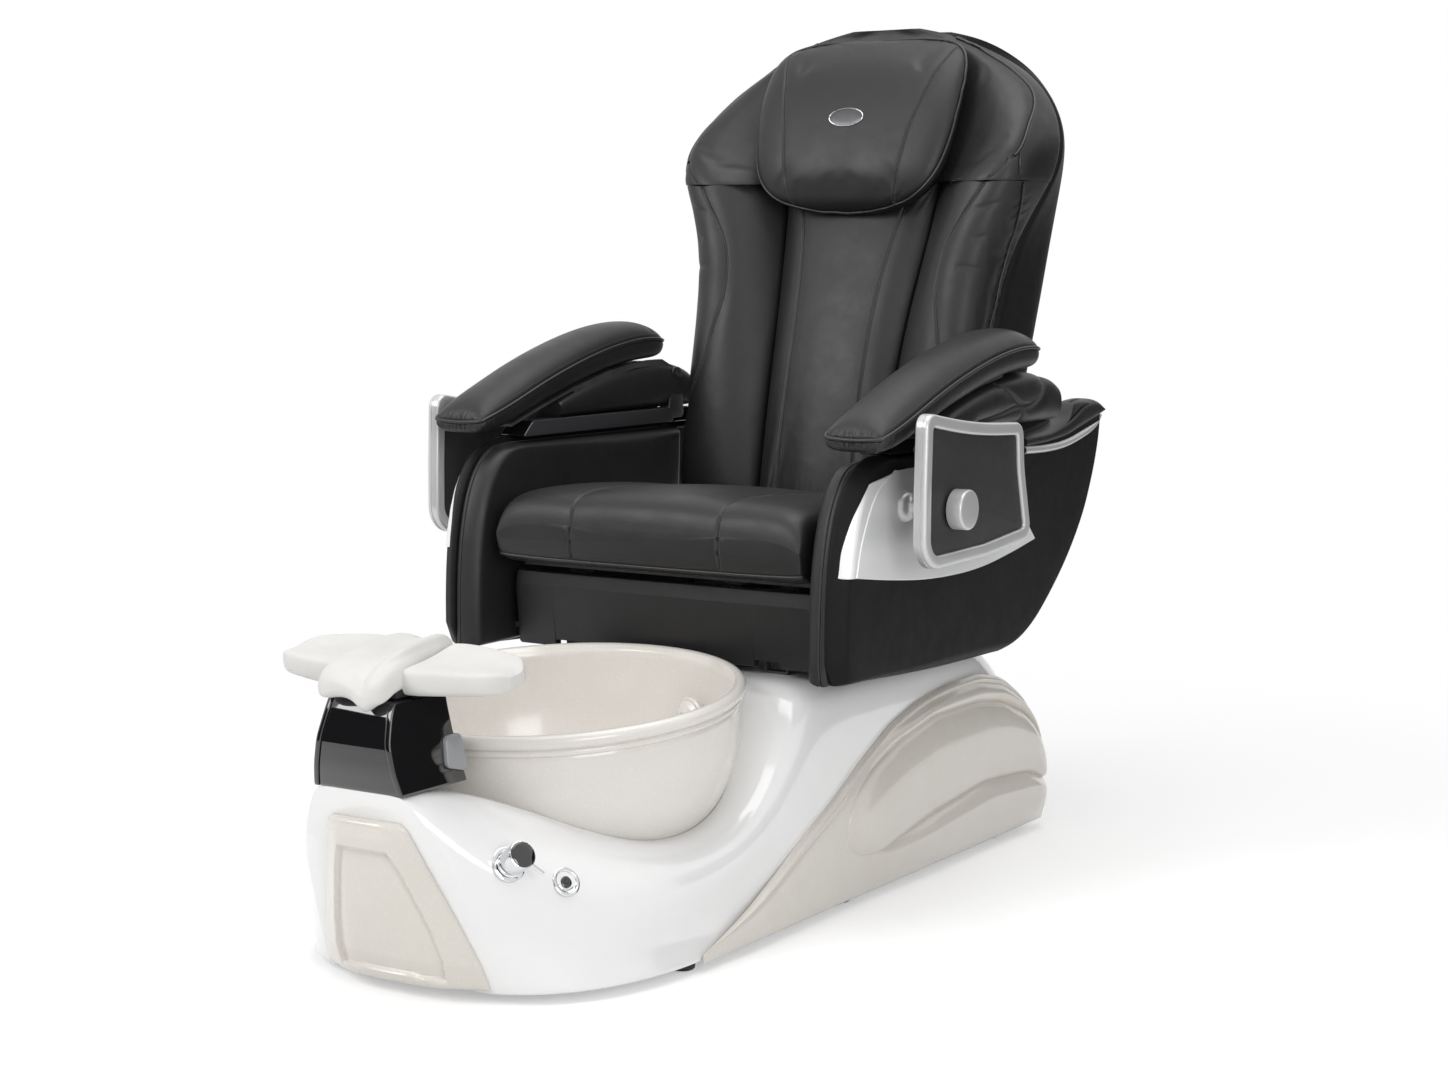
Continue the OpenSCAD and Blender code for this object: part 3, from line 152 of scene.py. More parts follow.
fade.inputs["From Min"].default_value, fade.inputs["From Max"].default_value = 0.9, 2.6
join(place.outputs["Object"], from_chair.inputs[0])
join(from_chair.outputs["Value"], fade.inputs["Value"])
far_off, blend_floor = node("ShaderNodeMath", operation="MULTIPLY"), node("ShaderNodeMixShader")
join(fade.outputs[0], far_off.inputs[0])
join(direct, far_off.inputs[1])
join(far_off.outputs[0], blend_floor.inputs[0])
join(both.outputs[0], blend_floor.inputs[1])
join(clear.outputs[0], blend_floor.inputs[2])
join(blend_floor.outputs[0], floor_out.inputs[0])
floor_mesh.materials.append(floor_paint)

# ---- Base shell ----------------------------------------------------------------------------
# One glass-fibre moulding in glossy white gel coat, hollow under the deck, with a round pocket
# for the basin. It is laid up in a split mould and buffed, so its surface is slightly wavy.
mid_y = 649.2  # station of the origin, mm
shell_rows = [[-55, 0.36, 158, 150, 90, 142, 215, 88, 306, 312],
    [-35, 0.38, 205, 185, 90, 172, 205, 96, 306, 312], [15, 0.32, 258, 236, 84, 232, 182, 108, 302, 312],
    [80, 0.24, 290, 264, 78, 280, 160, 144, 262, 280], [145, 0.15, 308, 280, 74, 314, 150, 210, 222, 232],
    [210, 0.08, 316, 288, 72, 332, 148, 258, 196, 192], [290, 0, 316, 298, 78, 332, 156, 272, 190, 186],
    [370, 0, 316, 306, 96, 328, 182, 274, 204, 196], [440, 0, 316, 312, 120, 322, 214, 280, 240, 240],
    [500, 0, 316, 316, 130, 317.5, 262, 288, 304, 312], [550, 0, 316, 316, 140, 317, 300, 298, 362, 384],
    [610, 0, 316, 316, 150, 316, 316, 304, 376, 384], [760, 0, 316, 316, 150, 316, 320, 304, 376, 384],
    [1000, 0, 316, 316, 150, 316, 320, 304, 376, 384], [1120, 0, 316, 316, 150, 316, 310, 302, 376, 384],
    [1200, -0.05, 316, 316, 140, 316, 280, 290, 350, 360],
    [1270, -0.12, 316, 314, 120, 306, 230, 268, 286, 300],
    [1335, -0.2, 306, 304, 100, 288, 180, 240, 226, 238],
    [1368, -0.22, 285, 280, 80, 262, 140, 215, 175, 186]]


def spline_weights(t):
    return np.array([(1 - t) ** 3, 3 * t ** 3 - 6 * t ** 2 + 4, -3 * t ** 3 + 3 * t ** 2 + 3 * t + 1,
        t ** 3]) / 6


def round_ring(control, k):
    """Closed smooth curve drawn by a ring of control points, k steps to each."""
    c = np.asarray(control, float)
    around = np.arange(len(c))
    steps = [sum(w * c[(around + d) % len(c)] for d, w in enumerate(spline_weights(j / k))) for j in range(k)]
    return np.stack(steps, 1).reshape(-1, c.shape[1])


def along(rings, s):
    """Smooth run of rings from the first to the last, s steps to each; both ends are held."""
    rings = np.asarray(rings, float)
    last = len(rings) - 1
    out = [sum(w * rings[min(max(q + d - 2, 0), last)] for d, w in enumerate(spline_weights(j / s)))
           for q in range(last + 2) for j in range(s)]
    return np.array(out + [rings[-1]])


def lofted(net, k, s):
    return along([round_ring(c, k) for c in net], s)


def closed_ends(rings, shares=(0.88, 0.7, 0.45, 0.2), crown=0.0):
    """Adds rings that close both ends, each drawn in to its middle and pushed out by crown."""
    def cap(edge, inner):
        middle = edge.mean(0)
        way = middle - inner.mean(0)
        way /= np.linalg.norm(way)
        return [middle + (edge - middle) * f + way * crown * (1 - f * f) for f in shares]
    return np.concatenate([cap(rings[0], rings[1])[::-1], rings, cap(rings[-1], rings[-2])])


def skin_faces(m, n, strips=False):
    """Quads between m rings of n points, and the ends closed by one face each or by a strip of quads."""
    i, j = np.meshgrid(np.arange(m - 1), np.arange(n), indexing="ij")
    a, b = i * n + j, i * n + (j + 1) % n
    quads = np.stack([a, b, b + n, a + n], -1).reshape(-1, 4).tolist()
    ends = [list(range(n))[::-1], list(range((m - 1) * n, m * n))]
    if strips:
        ends = [[e[j], e[j + 1], e[n - 2 - j], e[n - 1 - j]] for e in ends for j in range(n // 2 - 1)]
    return quads + ends


def made(name, points, faces, material, body, stands_for=(), crease=40):
    """A piece of the chair from points in millimetres, counted from the front datum."""
    points = np.asarray(points, float).reshape(-1, 3)
    mesh = bpy.data.meshes.new(name)
    mesh.from_pydata(((points - (0, mid_y, 0)) / 1000).tolist(), [], faces)
    shape = bmesh.new()
    shape.from_mesh(mesh)
    is_open = any(len(e.link_faces) == 1 for e in shape.edges)
    if len(shape.faces) and not is_open and shape.calc_volume(signed=True) < 0:
        bmesh.ops.reverse_faces(shape, faces=shape.faces)
    shape.to_mesh(mesh)
    shape.free()
    mesh.shade_smooth()
    mesh.set_sharp_from_angle(angle=math.radians(crease))
    piece = bpy.data.objects.new(name, mesh)
    studio.collection.objects.link(piece)
    mesh.materials.append(material)
    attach(piece, body)
    if stands_for:
        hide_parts(*([stands_for] if isinstance(stands_for, str) else stands_for))
    return piece


def settle(piece):
    """Applies the piece's modifiers to its mesh."""
    ready = piece.evaluated_get(bpy.context.evaluated_depsgraph_get())
    mesh = bpy.data.meshes.new_from_object(ready, preserve_all_data_layers=True,
                                           depsgraph=bpy.context.evaluated_depsgraph_get())
    piece.modifiers.clear()
    piece.data = mesh


def turned(profile, n=128):
    """Points and faces of a lathe form about Z from (radius, height) pairs, axis points closed."""
    points, faces, start = [], [], []
    for r, z in profile:
        start.append(len(points))
        ring = [(r * math.cos(a), r * math.sin(a), z) for a in np.arange(n) * math.tau / n]
        points += ring if r > 1e-6 else [(0, 0, z)]
    for i, (lower, upper) in enumerate(zip(profile, profile[1:])):
        for j in range(n):
            a = [start[i] + j, start[i] + (j + 1) % n] if lower[0] > 1e-6 else [start[i]]
            b = [start[i + 1] + (j + 1) % n, start[i + 1] + j] if upper[0] > 1e-6 else [start[i + 1]]
            faces.append(a + b)
    return np.array(points), faces


def shaped(points, place, turns):
    """Points turned by (axis, degrees) pairs in order and carried to their place."""
    way = Matrix.Translation(Vector(place))
    for axis, degrees in reversed(turns):
        way = way @ Matrix.Rotation(math.radians(degrees), 4, axis)
    return np.asarray(points, float) @ np.array(way.to_3x3()).T + np.array(way.translation)


basin_spot, basin_tilt = (0, 291, 394), 5
basin_depth, lip_drop, basin_radius = 250, 24, 289


def in_basin(points):
    return shaped(points, basin_spot, [("X", basin_tilt)])


def bowl_radius(depth, inward=0.0):
    share = max(0, depth - lip_drop) / (basin_depth + 10 - inward)
    return (basin_radius - inward) * max(0, 1 - share ** 2.6) ** (1 / 2.6)


def bowl_line(inward, top, steps=40):
    ends = np.sin(np.radians(np.linspace(0, 90, steps))) * (lip_drop + basin_depth - inward - top) + top
    return [(bowl_radius(d, inward), -d) for d in ends]


def socket_group(name, inputs, outputs):
    """Empty shader node group with named inputs (name, kind, value) and outputs (name, kind)."""
    tree = bpy.data.node_groups.new(name, "ShaderNodeTree")
    for label, kind, value in inputs:
        socket = tree.interface.new_socket(label, in_out="INPUT", socket_type=kind)
        socket.default_value = value
    for label, kind in outputs:
        tree.interface.new_socket(label, in_out="OUTPUT", socket_type=kind)
    node, join = links_of(tree)
    return tree, node, join, node("NodeGroupInput").outputs, node("NodeGroupOutput").inputs


def object_noise(node, join, scale, detail=3.0, rough=0.5):
    """Noise over the piece's own place, so that it stays with the piece."""
    place = node("ShaderNodeTexCoord")
    noise = node("ShaderNodeTexNoise")
    join(place.outputs["Object"], noise.inputs["Vector"])
    if isinstance(scale, (int, float)):
        noise.inputs["Scale"].default_value = scale
    else:
        join(scale, noise.inputs["Scale"])
    noise.inputs["Detail"].default_value = detail
    noise.inputs["Roughness"].default_value = rough
    return noise.outputs["Fac"]


# Slow waviness of a laid-up or pressed surface, as a height.
ripple_group, node, join, given, put = socket_group(
    "moulded_ripple", [("Scale", "NodeSocketFloat", 9.0)], [("Height", "NodeSocketFloat")])
join(object_noise(node, join, given["Scale"], 1.0), put["Height"])

# Handled wear: a grey film in broad patches and fine cleaning marks, as masks.
film_group, node, join, given, put = socket_group(
    "cleaning_film", [("Scale", "NodeSocketFloat", 6.0)],
    [("Patches", "NodeSocketFloat"), ("Marks", "NodeSocketFloat")])
broad = node("ShaderNodeMapRange")
broad.inputs["From Min"].default_value, broad.inputs["From Max"].default_value = 0.42, 0.72
join(object_noise(node, join, given["Scale"], 4.0, 0.6), broad.inputs["Value"])
join(broad.outputs[0], put["Patches"])
marks = node("ShaderNodeMapRange")
marks.inputs["From Min"].default_value, marks.inputs["From Max"].default_value = 0.5, 0.8
join(object_noise(node, join, 240.0, 6.0, 0.75), marks.inputs["Value"])
join(marks.outputs[0], put["Marks"])


class Finish:
    """A material: its principled shader, and the nodes and joins that feed it."""

    def __init__(self, name, colour, rough, metallic=0.0, coat=0.0, coat_rough=0.03, level=0.5, sheen=0.0):
        self.material = bpy.data.materials.new(name)
        self.material.use_nodes = True
        self.material.diffuse_color = (*colour, 1)
        self.tree = self.material.node_tree
        self.node, self.join = links_of(self.tree)
        self.shader = self.tree.nodes["Principled BSDF"]
        for socket, value in (("Base Color", (*colour, 1)), ("Roughness", rough), ("Metallic", metallic),
                              ("Coat Weight", coat), ("Coat Roughness", coat_rough),
                              ("Specular IOR Level", level), ("Sheen Weight", sheen)):
            self.shader.inputs[socket].default_value = value
        self.normal = None

    def group(self, tree, **values):
        placed = self.node("ShaderNodeGroup", node_tree=tree)
        for label, value in values.items():
            placed.inputs[label.replace("_", " ")].default_value = value
        return placed.outputs

    def tint(self, mask, low, high):
        """Base colour from low to high by a mask."""
        mix = self.node("ShaderNodeMix", data_type="RGBA")
        self.join(mask, mix.inputs["Factor"])
        mix.inputs["A"].default_value, mix.inputs["B"].default_value = (*low, 1), (*high, 1)
        self.join(mix.outputs["Result"], self.shader.inputs["Base Color"])
        return mix

    def spread(self, mask, low, high):
        """Roughness from low to high by a mask."""
        reach = self.node("ShaderNodeMapRange")
        reach.inputs["To Min"].default_value, reach.inputs["To Max"].default_value = low, high
        self.join(mask, reach.inputs["Value"])
        self.join(reach.outputs[0], self.shader.inputs["Roughness"])

    def bump(self, height, distance, strength=1.0):
        """Lays a height, in metres at 1, over the bumps already laid."""
        relief = self.node("ShaderNodeBump")
        relief.inputs["Strength"].default_value = strength
        relief.inputs["Distance"].default_value = distance
        self.join(height, relief.inputs["Height"])
        if self.normal:
            self.join(self.normal, relief.inputs["Normal"])
        self.normal = relief.outputs["Normal"]
        self.join(self.normal, self.shader.inputs["Normal"])


gel_coat = Finish("gel_coat_white", (0.86, 0.86, 0.86), 0.16, coat=0.6, coat_rough=0.04)
film = gel_coat.group(film_group, Scale=5.0)
gel_coat.tint(film["Patches"], (0.87, 0.87, 0.868), (0.835, 0.836, 0.838))
gel_coat.spread(film["Marks"], 0.13, 0.24)
gel_coat.bump(gel_coat.group(ripple_group, Scale=7.0)["Height"], 0.004, 0.35)

shell_net = []
for y, lean, foot, waist, waist_z, hip, hip_z, edge, edge_z, top in shell_rows:
    half = [(foot * 0.6, 14), (foot, 14), (foot, 18), (waist, waist_z), (hip, hip_z), (edge, edge_z),
            (edge * 0.82, top), (edge * 0.4, top)]
    half += [(-x, z) for x, z in half[::-1]]
    shell_net.append([(x, y - lean * z, z) for x, z in half])
shell_points = closed_ends(lofted(shell_net, 8, 8), (0.8, 0.5, 0.2))
base_shell = made("base_shell_moulding", shell_points, skin_faces(*shell_points.shape[:2]), gel_coat.material,
                  "base", "base_shell", 50)


def carve(piece, name, points, faces):
    """Cuts a closed form out of a piece."""
    cutter = made(name, points, faces, gel_coat.material, "base")
    cut = piece.modifiers.new(name, "BOOLEAN")
    cut.operation, cut.solver, cut.object = "DIFFERENCE", "EXACT", cutter
    settle(piece)
    bpy.data.objects.remove(cutter)


pocket = [(0, 60), (basin_radius + 0.5, 60)] + bowl_line(-0.5, 0) + [(0, -lip_drop - basin_depth - 0.5)]
pocket_points, pocket_faces = turned(pocket, 160)
carve(base_shell, "basin_pocket", in_basin(pocket_points), pocket_faces)
bay_half, bay_front, bay_rear, bay_top = 240, 590, 1180, 368
bay = [(x, y, z) for z in (-2, bay_top)
       for x, y in ((-bay_half, bay_front), (bay_half, bay_front), (bay_half, bay_rear), (-bay_half, bay_rear))]
carve(base_shell, "machine_bay", bay, [(3, 2, 1, 0), (4, 5, 6, 7)]
    + [(i, (i + 1) % 4, (i + 1) % 4 + 4, i + 4) for i in range(4)])
base_shell.data.shade_smooth()
base_shell.data.set_sharp_from_angle(angle=math.radians(35))


# ---- Pearl insert and side panels ----------------------------------------------------------
# Separate mouldings in pearl beige gel coat with a fine metal flake, screwed on from behind:
# a faceted nose panel with a sunk field, and two side panels with three fanned leaves.

# Fine flake: mask of bright specks, and a soft cloud of lighter pigment.
flake_group, node, join, given, put = socket_group(
    "pearl_flake", [("Scale", "NodeSocketFloat", 900.0)],
    [("Specks", "NodeSocketFloat"), ("Cloud", "NodeSocketFloat"), ("Height", "NodeSocketFloat")])
place, cells = node("ShaderNodeTexCoord"), node("ShaderNodeTexVoronoi")
join(place.outputs["Object"], cells.inputs["Vector"])
join(given["Scale"], cells.inputs["Scale"])
pick, split = node("ShaderNodeMath", operation="GREATER_THAN"), node("ShaderNodeSeparateColor")
join(cells.outputs["Color"], split.inputs[0])
join(split.outputs[0], pick.inputs[0])
pick.inputs[1].default_value = 0.9
join(pick.outputs[0], put["Specks"])
join(split.outputs[1], put["Height"])
join(object_noise(node, join, 14.0, 5.0, 0.6), put["Cloud"])


def pearl_coat(name, colour, pale, specks=0.35):
    coat = Finish(name, colour, 0.24, coat=0.5, coat_rough=0.08)
    flake = coat.group(flake_group, Scale=520.0)
    cloud = coat.tint(flake["Cloud"], colour, pale)
    bright = coat.node("ShaderNodeMix", data_type="RGBA")
    amount = coat.node("ShaderNodeMath", operation="MULTIPLY")
    coat.join(flake["Specks"], amount.inputs[0])
    amount.inputs[1].default_value = specks
    coat.join(amount.outputs[0], bright.inputs["Factor"])
    coat.join(cloud.outputs["Result"], bright.inputs["A"])
    bright.inputs["B"].default_value = (0.93, 0.91, 0.88, 1)
    coat.join(bright.outputs["Result"], coat.shader.inputs["Base Color"])
    coat.spread(coat.group(film_group, Scale=8.0)["Patches"], 0.21, 0.26)
    coat.bump(flake["Height"], 0.0002, 0.25)
    coat.bump(coat.group(ripple_group, Scale=11.0)["Height"], 0.003, 0.3)
    return coat


pearl = pearl_coat("pearl_beige", (0.66, 0.62, 0.56), (0.72, 0.69, 0.64), 0.12)


def field_depth(x, z, corners, soft):
    """1 well inside a polygon in the XZ plane, 0 outside, with a soft bank of that width."""
    corners = np.asarray(corners, float)
    away = np.full(x.shape, 1e9)
    inside = np.zeros(x.shape, bool)
    for (ax, az), (bx, bz) in zip(corners, np.roll(corners, -1, 0)):
        t = np.clip(((x - ax) * (bx - ax) + (z - az) * (bz - az)) / ((bx - ax) ** 2 + (bz - az) ** 2), 0, 1)
        away = np.minimum(away, np.hypot(x - ax - t * (bx - ax), z - az - t * (bz - az)))
        if az != bz:
            inside ^= ((az > z) != (bz > z)) & (x < (bx - ax) * (z - az) / (bz - az) + ax)
    t = np.clip(np.where(inside, away, -away) / soft + 0.5, 0, 1)
    return t * t * (3 - 2 * t)


heights = np.concatenate([[22, 23, 25], np.linspace(28, 264, 84), [267, 269, 270]])
across = np.concatenate([[-1, -0.995, -0.985], np.linspace(-0.97, 0.97, 96), [0.985, 0.995, 1]])
insert_rings = []
sunk = [(-44, 227), (44, 227), (62, 190), (88, 112), (98, 66), (96, 34), (30, 40), (-30, 40), (-96, 34),
    (-98, 66), (-88, 112), (-62, 190)]
for z in heights:
    width = np.interp(z, [22, 60, 120, 190, 245, 262, 270], [150, 144, 124, 98, 78, 72, 62])
    proud = np.interp(z, [22, 60, 120, 190, 245, 270], [38, 41, 36, 30, 24, 15])
    x = across * width
    share = np.maximum(1e-4, (1 - np.abs(across)) / 0.5)
    crown = (1 + share ** -5.0) ** -0.2
    rim = np.sqrt(np.clip(np.minimum((1 - np.abs(across)) * width, min(z - 22, 270 - z)) / 5, 0, 1))
    wall = -55 - 0.36 * z - 0.3
    y = wall - 3 - 3.5 * rim - proud * crown
    y = y + 9 * field_depth(x, np.full(x.shape, z), sunk, 6.0)
    insert_rings.append([(a, b, z) for a, b in zip(x, y)]
        + [(width, wall, z), (0, wall, z), (-width, wall, z)])
insert_rings = np.array(insert_rings)
made("nose_panel", insert_rings, skin_faces(*insert_rings.shape[:2]), pearl.material, "base",
     "front_insert", 50)


def fair(table, y, reach=20):
    """Line through (station, height) pairs with its corners faired over reach."""
    xs, zs = np.array(table, float).T
    return np.mean([np.interp(np.asarray(y, float) + d, xs, zs) for d in np.linspace(-reach, reach, 9)], 0)


def ease(x, a, b):
    return (1 - np.cos(np.pi * np.clip((np.asarray(x, float) - a) / (b - a), 0, 1))) / 2


panel_top = [[190, 14], [232, 26], [290, 44], [360, 70], [440, 108], [520, 150], [610, 190], [700, 238],
    [800, 284], [900, 310], [1000, 322], [1120, 324], [1210, 306], [1290, 260], [1345, 205], [1386, 120],
    [1427, 30]]
panel_low = [[190, 13.6], [232, 13.6], [460, 14], [620, 15], [900, 14], [1386, 13.6]]
leaf_low = [[640, 116], [648, 102], [669, 90], [700, 83], [752, 81], [931, 110], [1124, 130], [1298, 118],
    [1386, 90]]
leaf_high = [[640, 137], [648, 158], [669, 186], [720, 222], [804, 252], [930, 276], [1100, 276], [1200, 262],
             [1290, 228], [1345, 178], [1386, 108]]
flank, panel_rear, tip = 316, 1386, 640
panel_ys = np.concatenate([np.linspace(232, 620, 44), np.linspace(626, 700, 28), np.linspace(708, 1290, 64),
                           panel_rear - 96 * np.cos(np.linspace(0.08, 1, 26) * np.pi / 2) ** 1.3])
panel_us = np.concatenate([np.linspace(0, 0.85, 30), np.linspace(0.87, 1.13, 20), np.linspace(1.16, 1.84, 32),
                           np.linspace(1.86, 2.06, 16), np.linspace(2.1, 2.68, 22), np.linspace(2.7, 3, 18)])
panel_rings = []
for y in panel_ys:
    reach = min(20, abs(y - tip) * 0.4 + 1)
    low, high = fair(panel_low, y), fair(panel_top, y, 24)
    a = low + 0.455 * (high - low) if y < tip else fair(leaf_low, y, reach)
    b = low + 0.58 * (high - low) if y < tip else fair(leaf_high, y, reach)
    z = np.interp(panel_us, [0, 1, 2, 3], [low, a, b, high])
    v = (z - low) / (high - low)
    tail = max(0, (y - 1300) / 88)
    ends = ease(y, 225, 420) * math.sqrt(max(0, 1 - tail * tail))
    crown = np.maximum(0, 1 - np.abs(2 * v - 1) ** 3) ** 0.7
    s = panel_us - np.floor(panel_us)
    s[-1] = 1
    under = ease(y, 690, 950) * np.where(s > 0.72, np.sin(np.pi / 2 * np.clip((1 - s) / 0.28, 0, 1)) ** 0.8,
                                         np.sin(np.pi / 2 * np.clip(s / 0.72, 0, 1)))
    middle = math.sqrt(ease(y, tip - 4, 730)) * np.maximum(0, 1 - np.abs(2 * s - 1) ** 2.6) ** 0.6
    over = 0.6 * ease(y, 700, 900) * np.sin(np.pi * np.minimum(1, s / 0.75))
    leaf = np.where(panel_us < 1, under, np.where(panel_us < 2, middle, over))
    bead = np.where(panel_us > 2.72, 5 * np.sin(np.pi * np.clip((panel_us - 2.72) / 0.28, 0, 1)),
        0) * ease(y, 240, 420)
    x = flank + 3.3 + 11 * crown * ends + bead + 20 * ends * leaf
    panel_rings.append([(flank + 0.3, y, high), (flank + 0.3, y, low)] + [(i, y, j) for i, j in zip(x, z)])
panel_rings = np.array(panel_rings)
for side, name in ((1, "left"), (-1, "right")):
    made("leaf_panel_" + name, panel_rings * (side, 1, 1), skin_faces(*panel_rings.shape[:2]), pearl.material,
         "base", "side_panel_" + name, 60)

# ---- Feet, floor frame and machinery -------------------------------------------------------
# Moulded rubber feet, and out of sight a welded frame of square steel tube with a drain pump,
# a jet motor and a sealed control box.
rubber = Finish("moulded_rubber", (0.022, 0.022, 0.023), 0.62, level=0.35)
rubber.spread(rubber.group(film_group, Scale=30.0)["Marks"], 0.5, 0.75)
rubber.bump(object_noise(rubber.node, rubber.join, 900.0, 3.0), 0.0003, 0.4)
steel = Finish("powder_coated_steel", (0.05, 0.05, 0.054), 0.42, level=0.5)
steel.tint(steel.group(film_group, Scale=18.0)["Patches"], (0.045, 0.045, 0.049), (0.075, 0.075, 0.08))
steel.bump(object_noise(steel.node, steel.join, 1500.0, 2.0), 0.0002, 0.5)
casing = Finish("grained_casing", (0.03, 0.03, 0.033), 0.5)
casing.spread(casing.group(film_group, Scale=12.0)["Marks"], 0.42, 0.6)
casing.bump(object_noise(casing.node, casing.join, 1200.0, 2.0), 0.0003, 0.4)


def finish_cad(finish, *nodes):
    """Gives solids that show as they are their finish."""
    for name in nodes:
        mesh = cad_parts[name].data
        mesh.materials.clear()
        mesh.materials.append(finish.material)


finish_cad(steel, "base_frame", "drain_pump", "jet_motor")
finish_cad(casing, "control_box")
foot_profile = [(0, 0), (15, 0), (17.5, 0.6), (19.2, 2.2), (20, 5), (20, 8), (18.5, 8.8), (18.5, 9.4),
    (12.4, 10.6), (12, 11.4), (12, 14), (0, 14)]
foot_points, foot_faces = turned(foot_profile, 48)
every_foot, every_face = [], []
for x, y in ((278, 235), (278, 700), (278, 1240), (105, 60)):
    for side in (1, -1):
        every_face += [[i + sum(map(len, every_foot)) for i in f] for f in foot_faces]
        every_foot.append(foot_points + (side * x, y, 0))
made("levelling_feet", np.concatenate(every_foot), every_face, rubber.material, "base",
    "feet", 30)

# ---- Basin ---------------------------------------------------------------------------------
# A deep round bowl pressed from cast acrylic with a pearl skin: a fat rolled rim with a step and
# a second bead under it, a pop-up drain at the bottom, and a turbulence jet low in its wall.
bowl_coat = pearl_coat("pearl_bowl", (0.73, 0.695, 0.65), (0.78, 0.75, 0.71), 0.2)
roll = [(291 + 11 * math.cos(a), -11 + 11 * math.sin(a)) for a in np.radians(np.arange(-78, 128, 6))]
bead = [(288.5 + 5.5 * math.cos(a), -28 + 5.5 * math.sin(a)) for a in np.radians(np.arange(-96, 66, 9))]
outside = [p for p in bowl_line(0, lip_drop, 44) if p[1] < -36][::-1]
inside = bowl_line(8, 12, 44)
basin_profile = [(0, -274)] + outside[1:] + [(288.8, -34.5)] + bead + roll + [(283.4, -6),
    (282.2, -10)] + inside[:-1] + [(0, -266)]
bowl_points, bowl_faces = turned(basin_profile, 220)
made("acrylic_basin", in_basin(bowl_points), bowl_faces, bowl_coat.material, "base", "basin", 40)
chrome = Finish("polished_chrome", (0.66, 0.67, 0.68), 0.06, metallic=1.0)
chrome.spread(chrome.group(film_group, Scale=30.0)["Marks"], 0.04, 0.11)
finish_cad(chrome, "drain_body", "drain_stopper")
finish_cad(bowl_coat, "jet_housing", "jet_cap")


# ---- Pedestal ------------------------------------------------------------------------------
# A two-part cover in piano-black acrylic round the footrest's post, drawn in towards its head:
# a front hood and two cheeks that clip over it, with a grey catch at the back of each cheek.
piano = Finish("piano_black", (0.006, 0.006, 0.007), 0.05, coat=0.8, coat_rough=0.02, level=0.6)
piano.spread(piano.group(film_group, Scale=16.0)["Marks"], 0.035, 0.09)
piano.bump(piano.group(ripple_group, Scale=10.0)["Height"], 0.002, 0.3)
catch_grey = Finish("satin_grey_catch", (0.30, 0.305, 0.32), 0.3, coat=0.2)
catch_grey.bump(object_noise(catch_grey.node, catch_grey.join, 1600.0), 0.0001, 0.3)
ped_heights = np.linspace(312.3, 440.3, 30)


def ped_half(z):
    return fair([[250, 85], [312, 82], [345, 75], [385, 67.5], [425, 62], [470, 59]], z, 10)


def ped_front(z):
    return fair([[250, -158], [312, -171], [345, -179], [385, -181], [425, -168], [441, -160], [470, -146]],
        z, 10)


def ped_rear(z):
    return fair([[250, -16], [312, -26], [385, -39], [440, -46], [470, -47]], z, 10)


def bevelled(corners, r, n=4):
    """Flat polygon with its corners rounded to r."""
    out, count = [], len(corners)
    for i, p in enumerate(np.asarray(corners, float)):
        a, b = corners[i - 1] - p, corners[(i + 1) % count] - p
        a, b = a / np.linalg.norm(a), b / np.linalg.norm(b)
        reach = r / max(0.2, math.tan(math.acos(np.clip(a @ b, -1, 1)) / 2))
        for t in np.linspace(0, 1, n + 1):
            out.append(p + a * reach * (1 - t) ** 2 + b * reach * t ** 2)
    return np.array(out)


def inward_of(outline):
    """Unit ways from an outline's points to its middle."""
    way = outline.mean(0) - outline
    return way / np.linalg.norm(way, axis=1)[:, None]


def upright_block(name, sides, finish, body, stands_for, r=2.5):
    """Upright form whose plan at each height comes from sides(z), with rounded corners and rims."""
    zs = ped_heights
    plans = [bevelled(np.array(sides(z), float), r) for z in zs]
    rims = [(plans[0], zs[0], 1.2), (plans[0], zs[0] + 0.6, 0.4)]
    rims += [(plan, z, 0) for plan, z in zip(plans[1:-1], zs[1:-1])]
    rims += [(plans[-1], zs[-1] - 0.6, 0.4), (plans[-1], zs[-1], 1.2)]
    rings = np.array([np.column_stack([plan + inward_of(plan) * draw, np.full(len(plan), z)])
                      for plan, z, draw in rims])
    return made(name, rings, skin_faces(*rings.shape[:2]), finish.material, body, stands_for, 50)


def hood_plan(z):
    half, front, rear = ped_half(z) - 9.4, ped_front(z) + 2.5, ped_rear(z) - 1.5
    return [(half, front), (half, rear), (-half, rear), (-half, front)]


upright_block("pedestal_hood", hood_plan, piano, "base", "pedestal_cover", 2)
for side, name in ((1, "left"), (-1, "right")):
    def cheek_plan(z):
        half, front, rear = ped_half(z), ped_front(z), ped_rear(z)
        return [(side * (half - 9), front), (side * half, front + 1), (side * half, rear),
                (side * (half - 9), rear)]

    upright_block("pedestal_cheek_" + name, cheek_plan, piano, "base", "pedestal_cheeks")
    outline = bevelled(np.array([(-70, 337), (-24, 325), (-29, 381), (-64, 380)], float), 9, 6)
    rings = []
    for out, draw in ((-6, 0), (4.2, 0), (5.4, 1), (6, 2.4)):
        rings.append([(side * (ped_half(z) + out), y, z) for y, z in outline + inward_of(outline) * draw])
    rings = np.array(rings)
    made("pedestal_catch_" + name, rings, skin_faces(*rings.shape[:2]), catch_grey.material, "base",
        "pedestal_clips", 40)

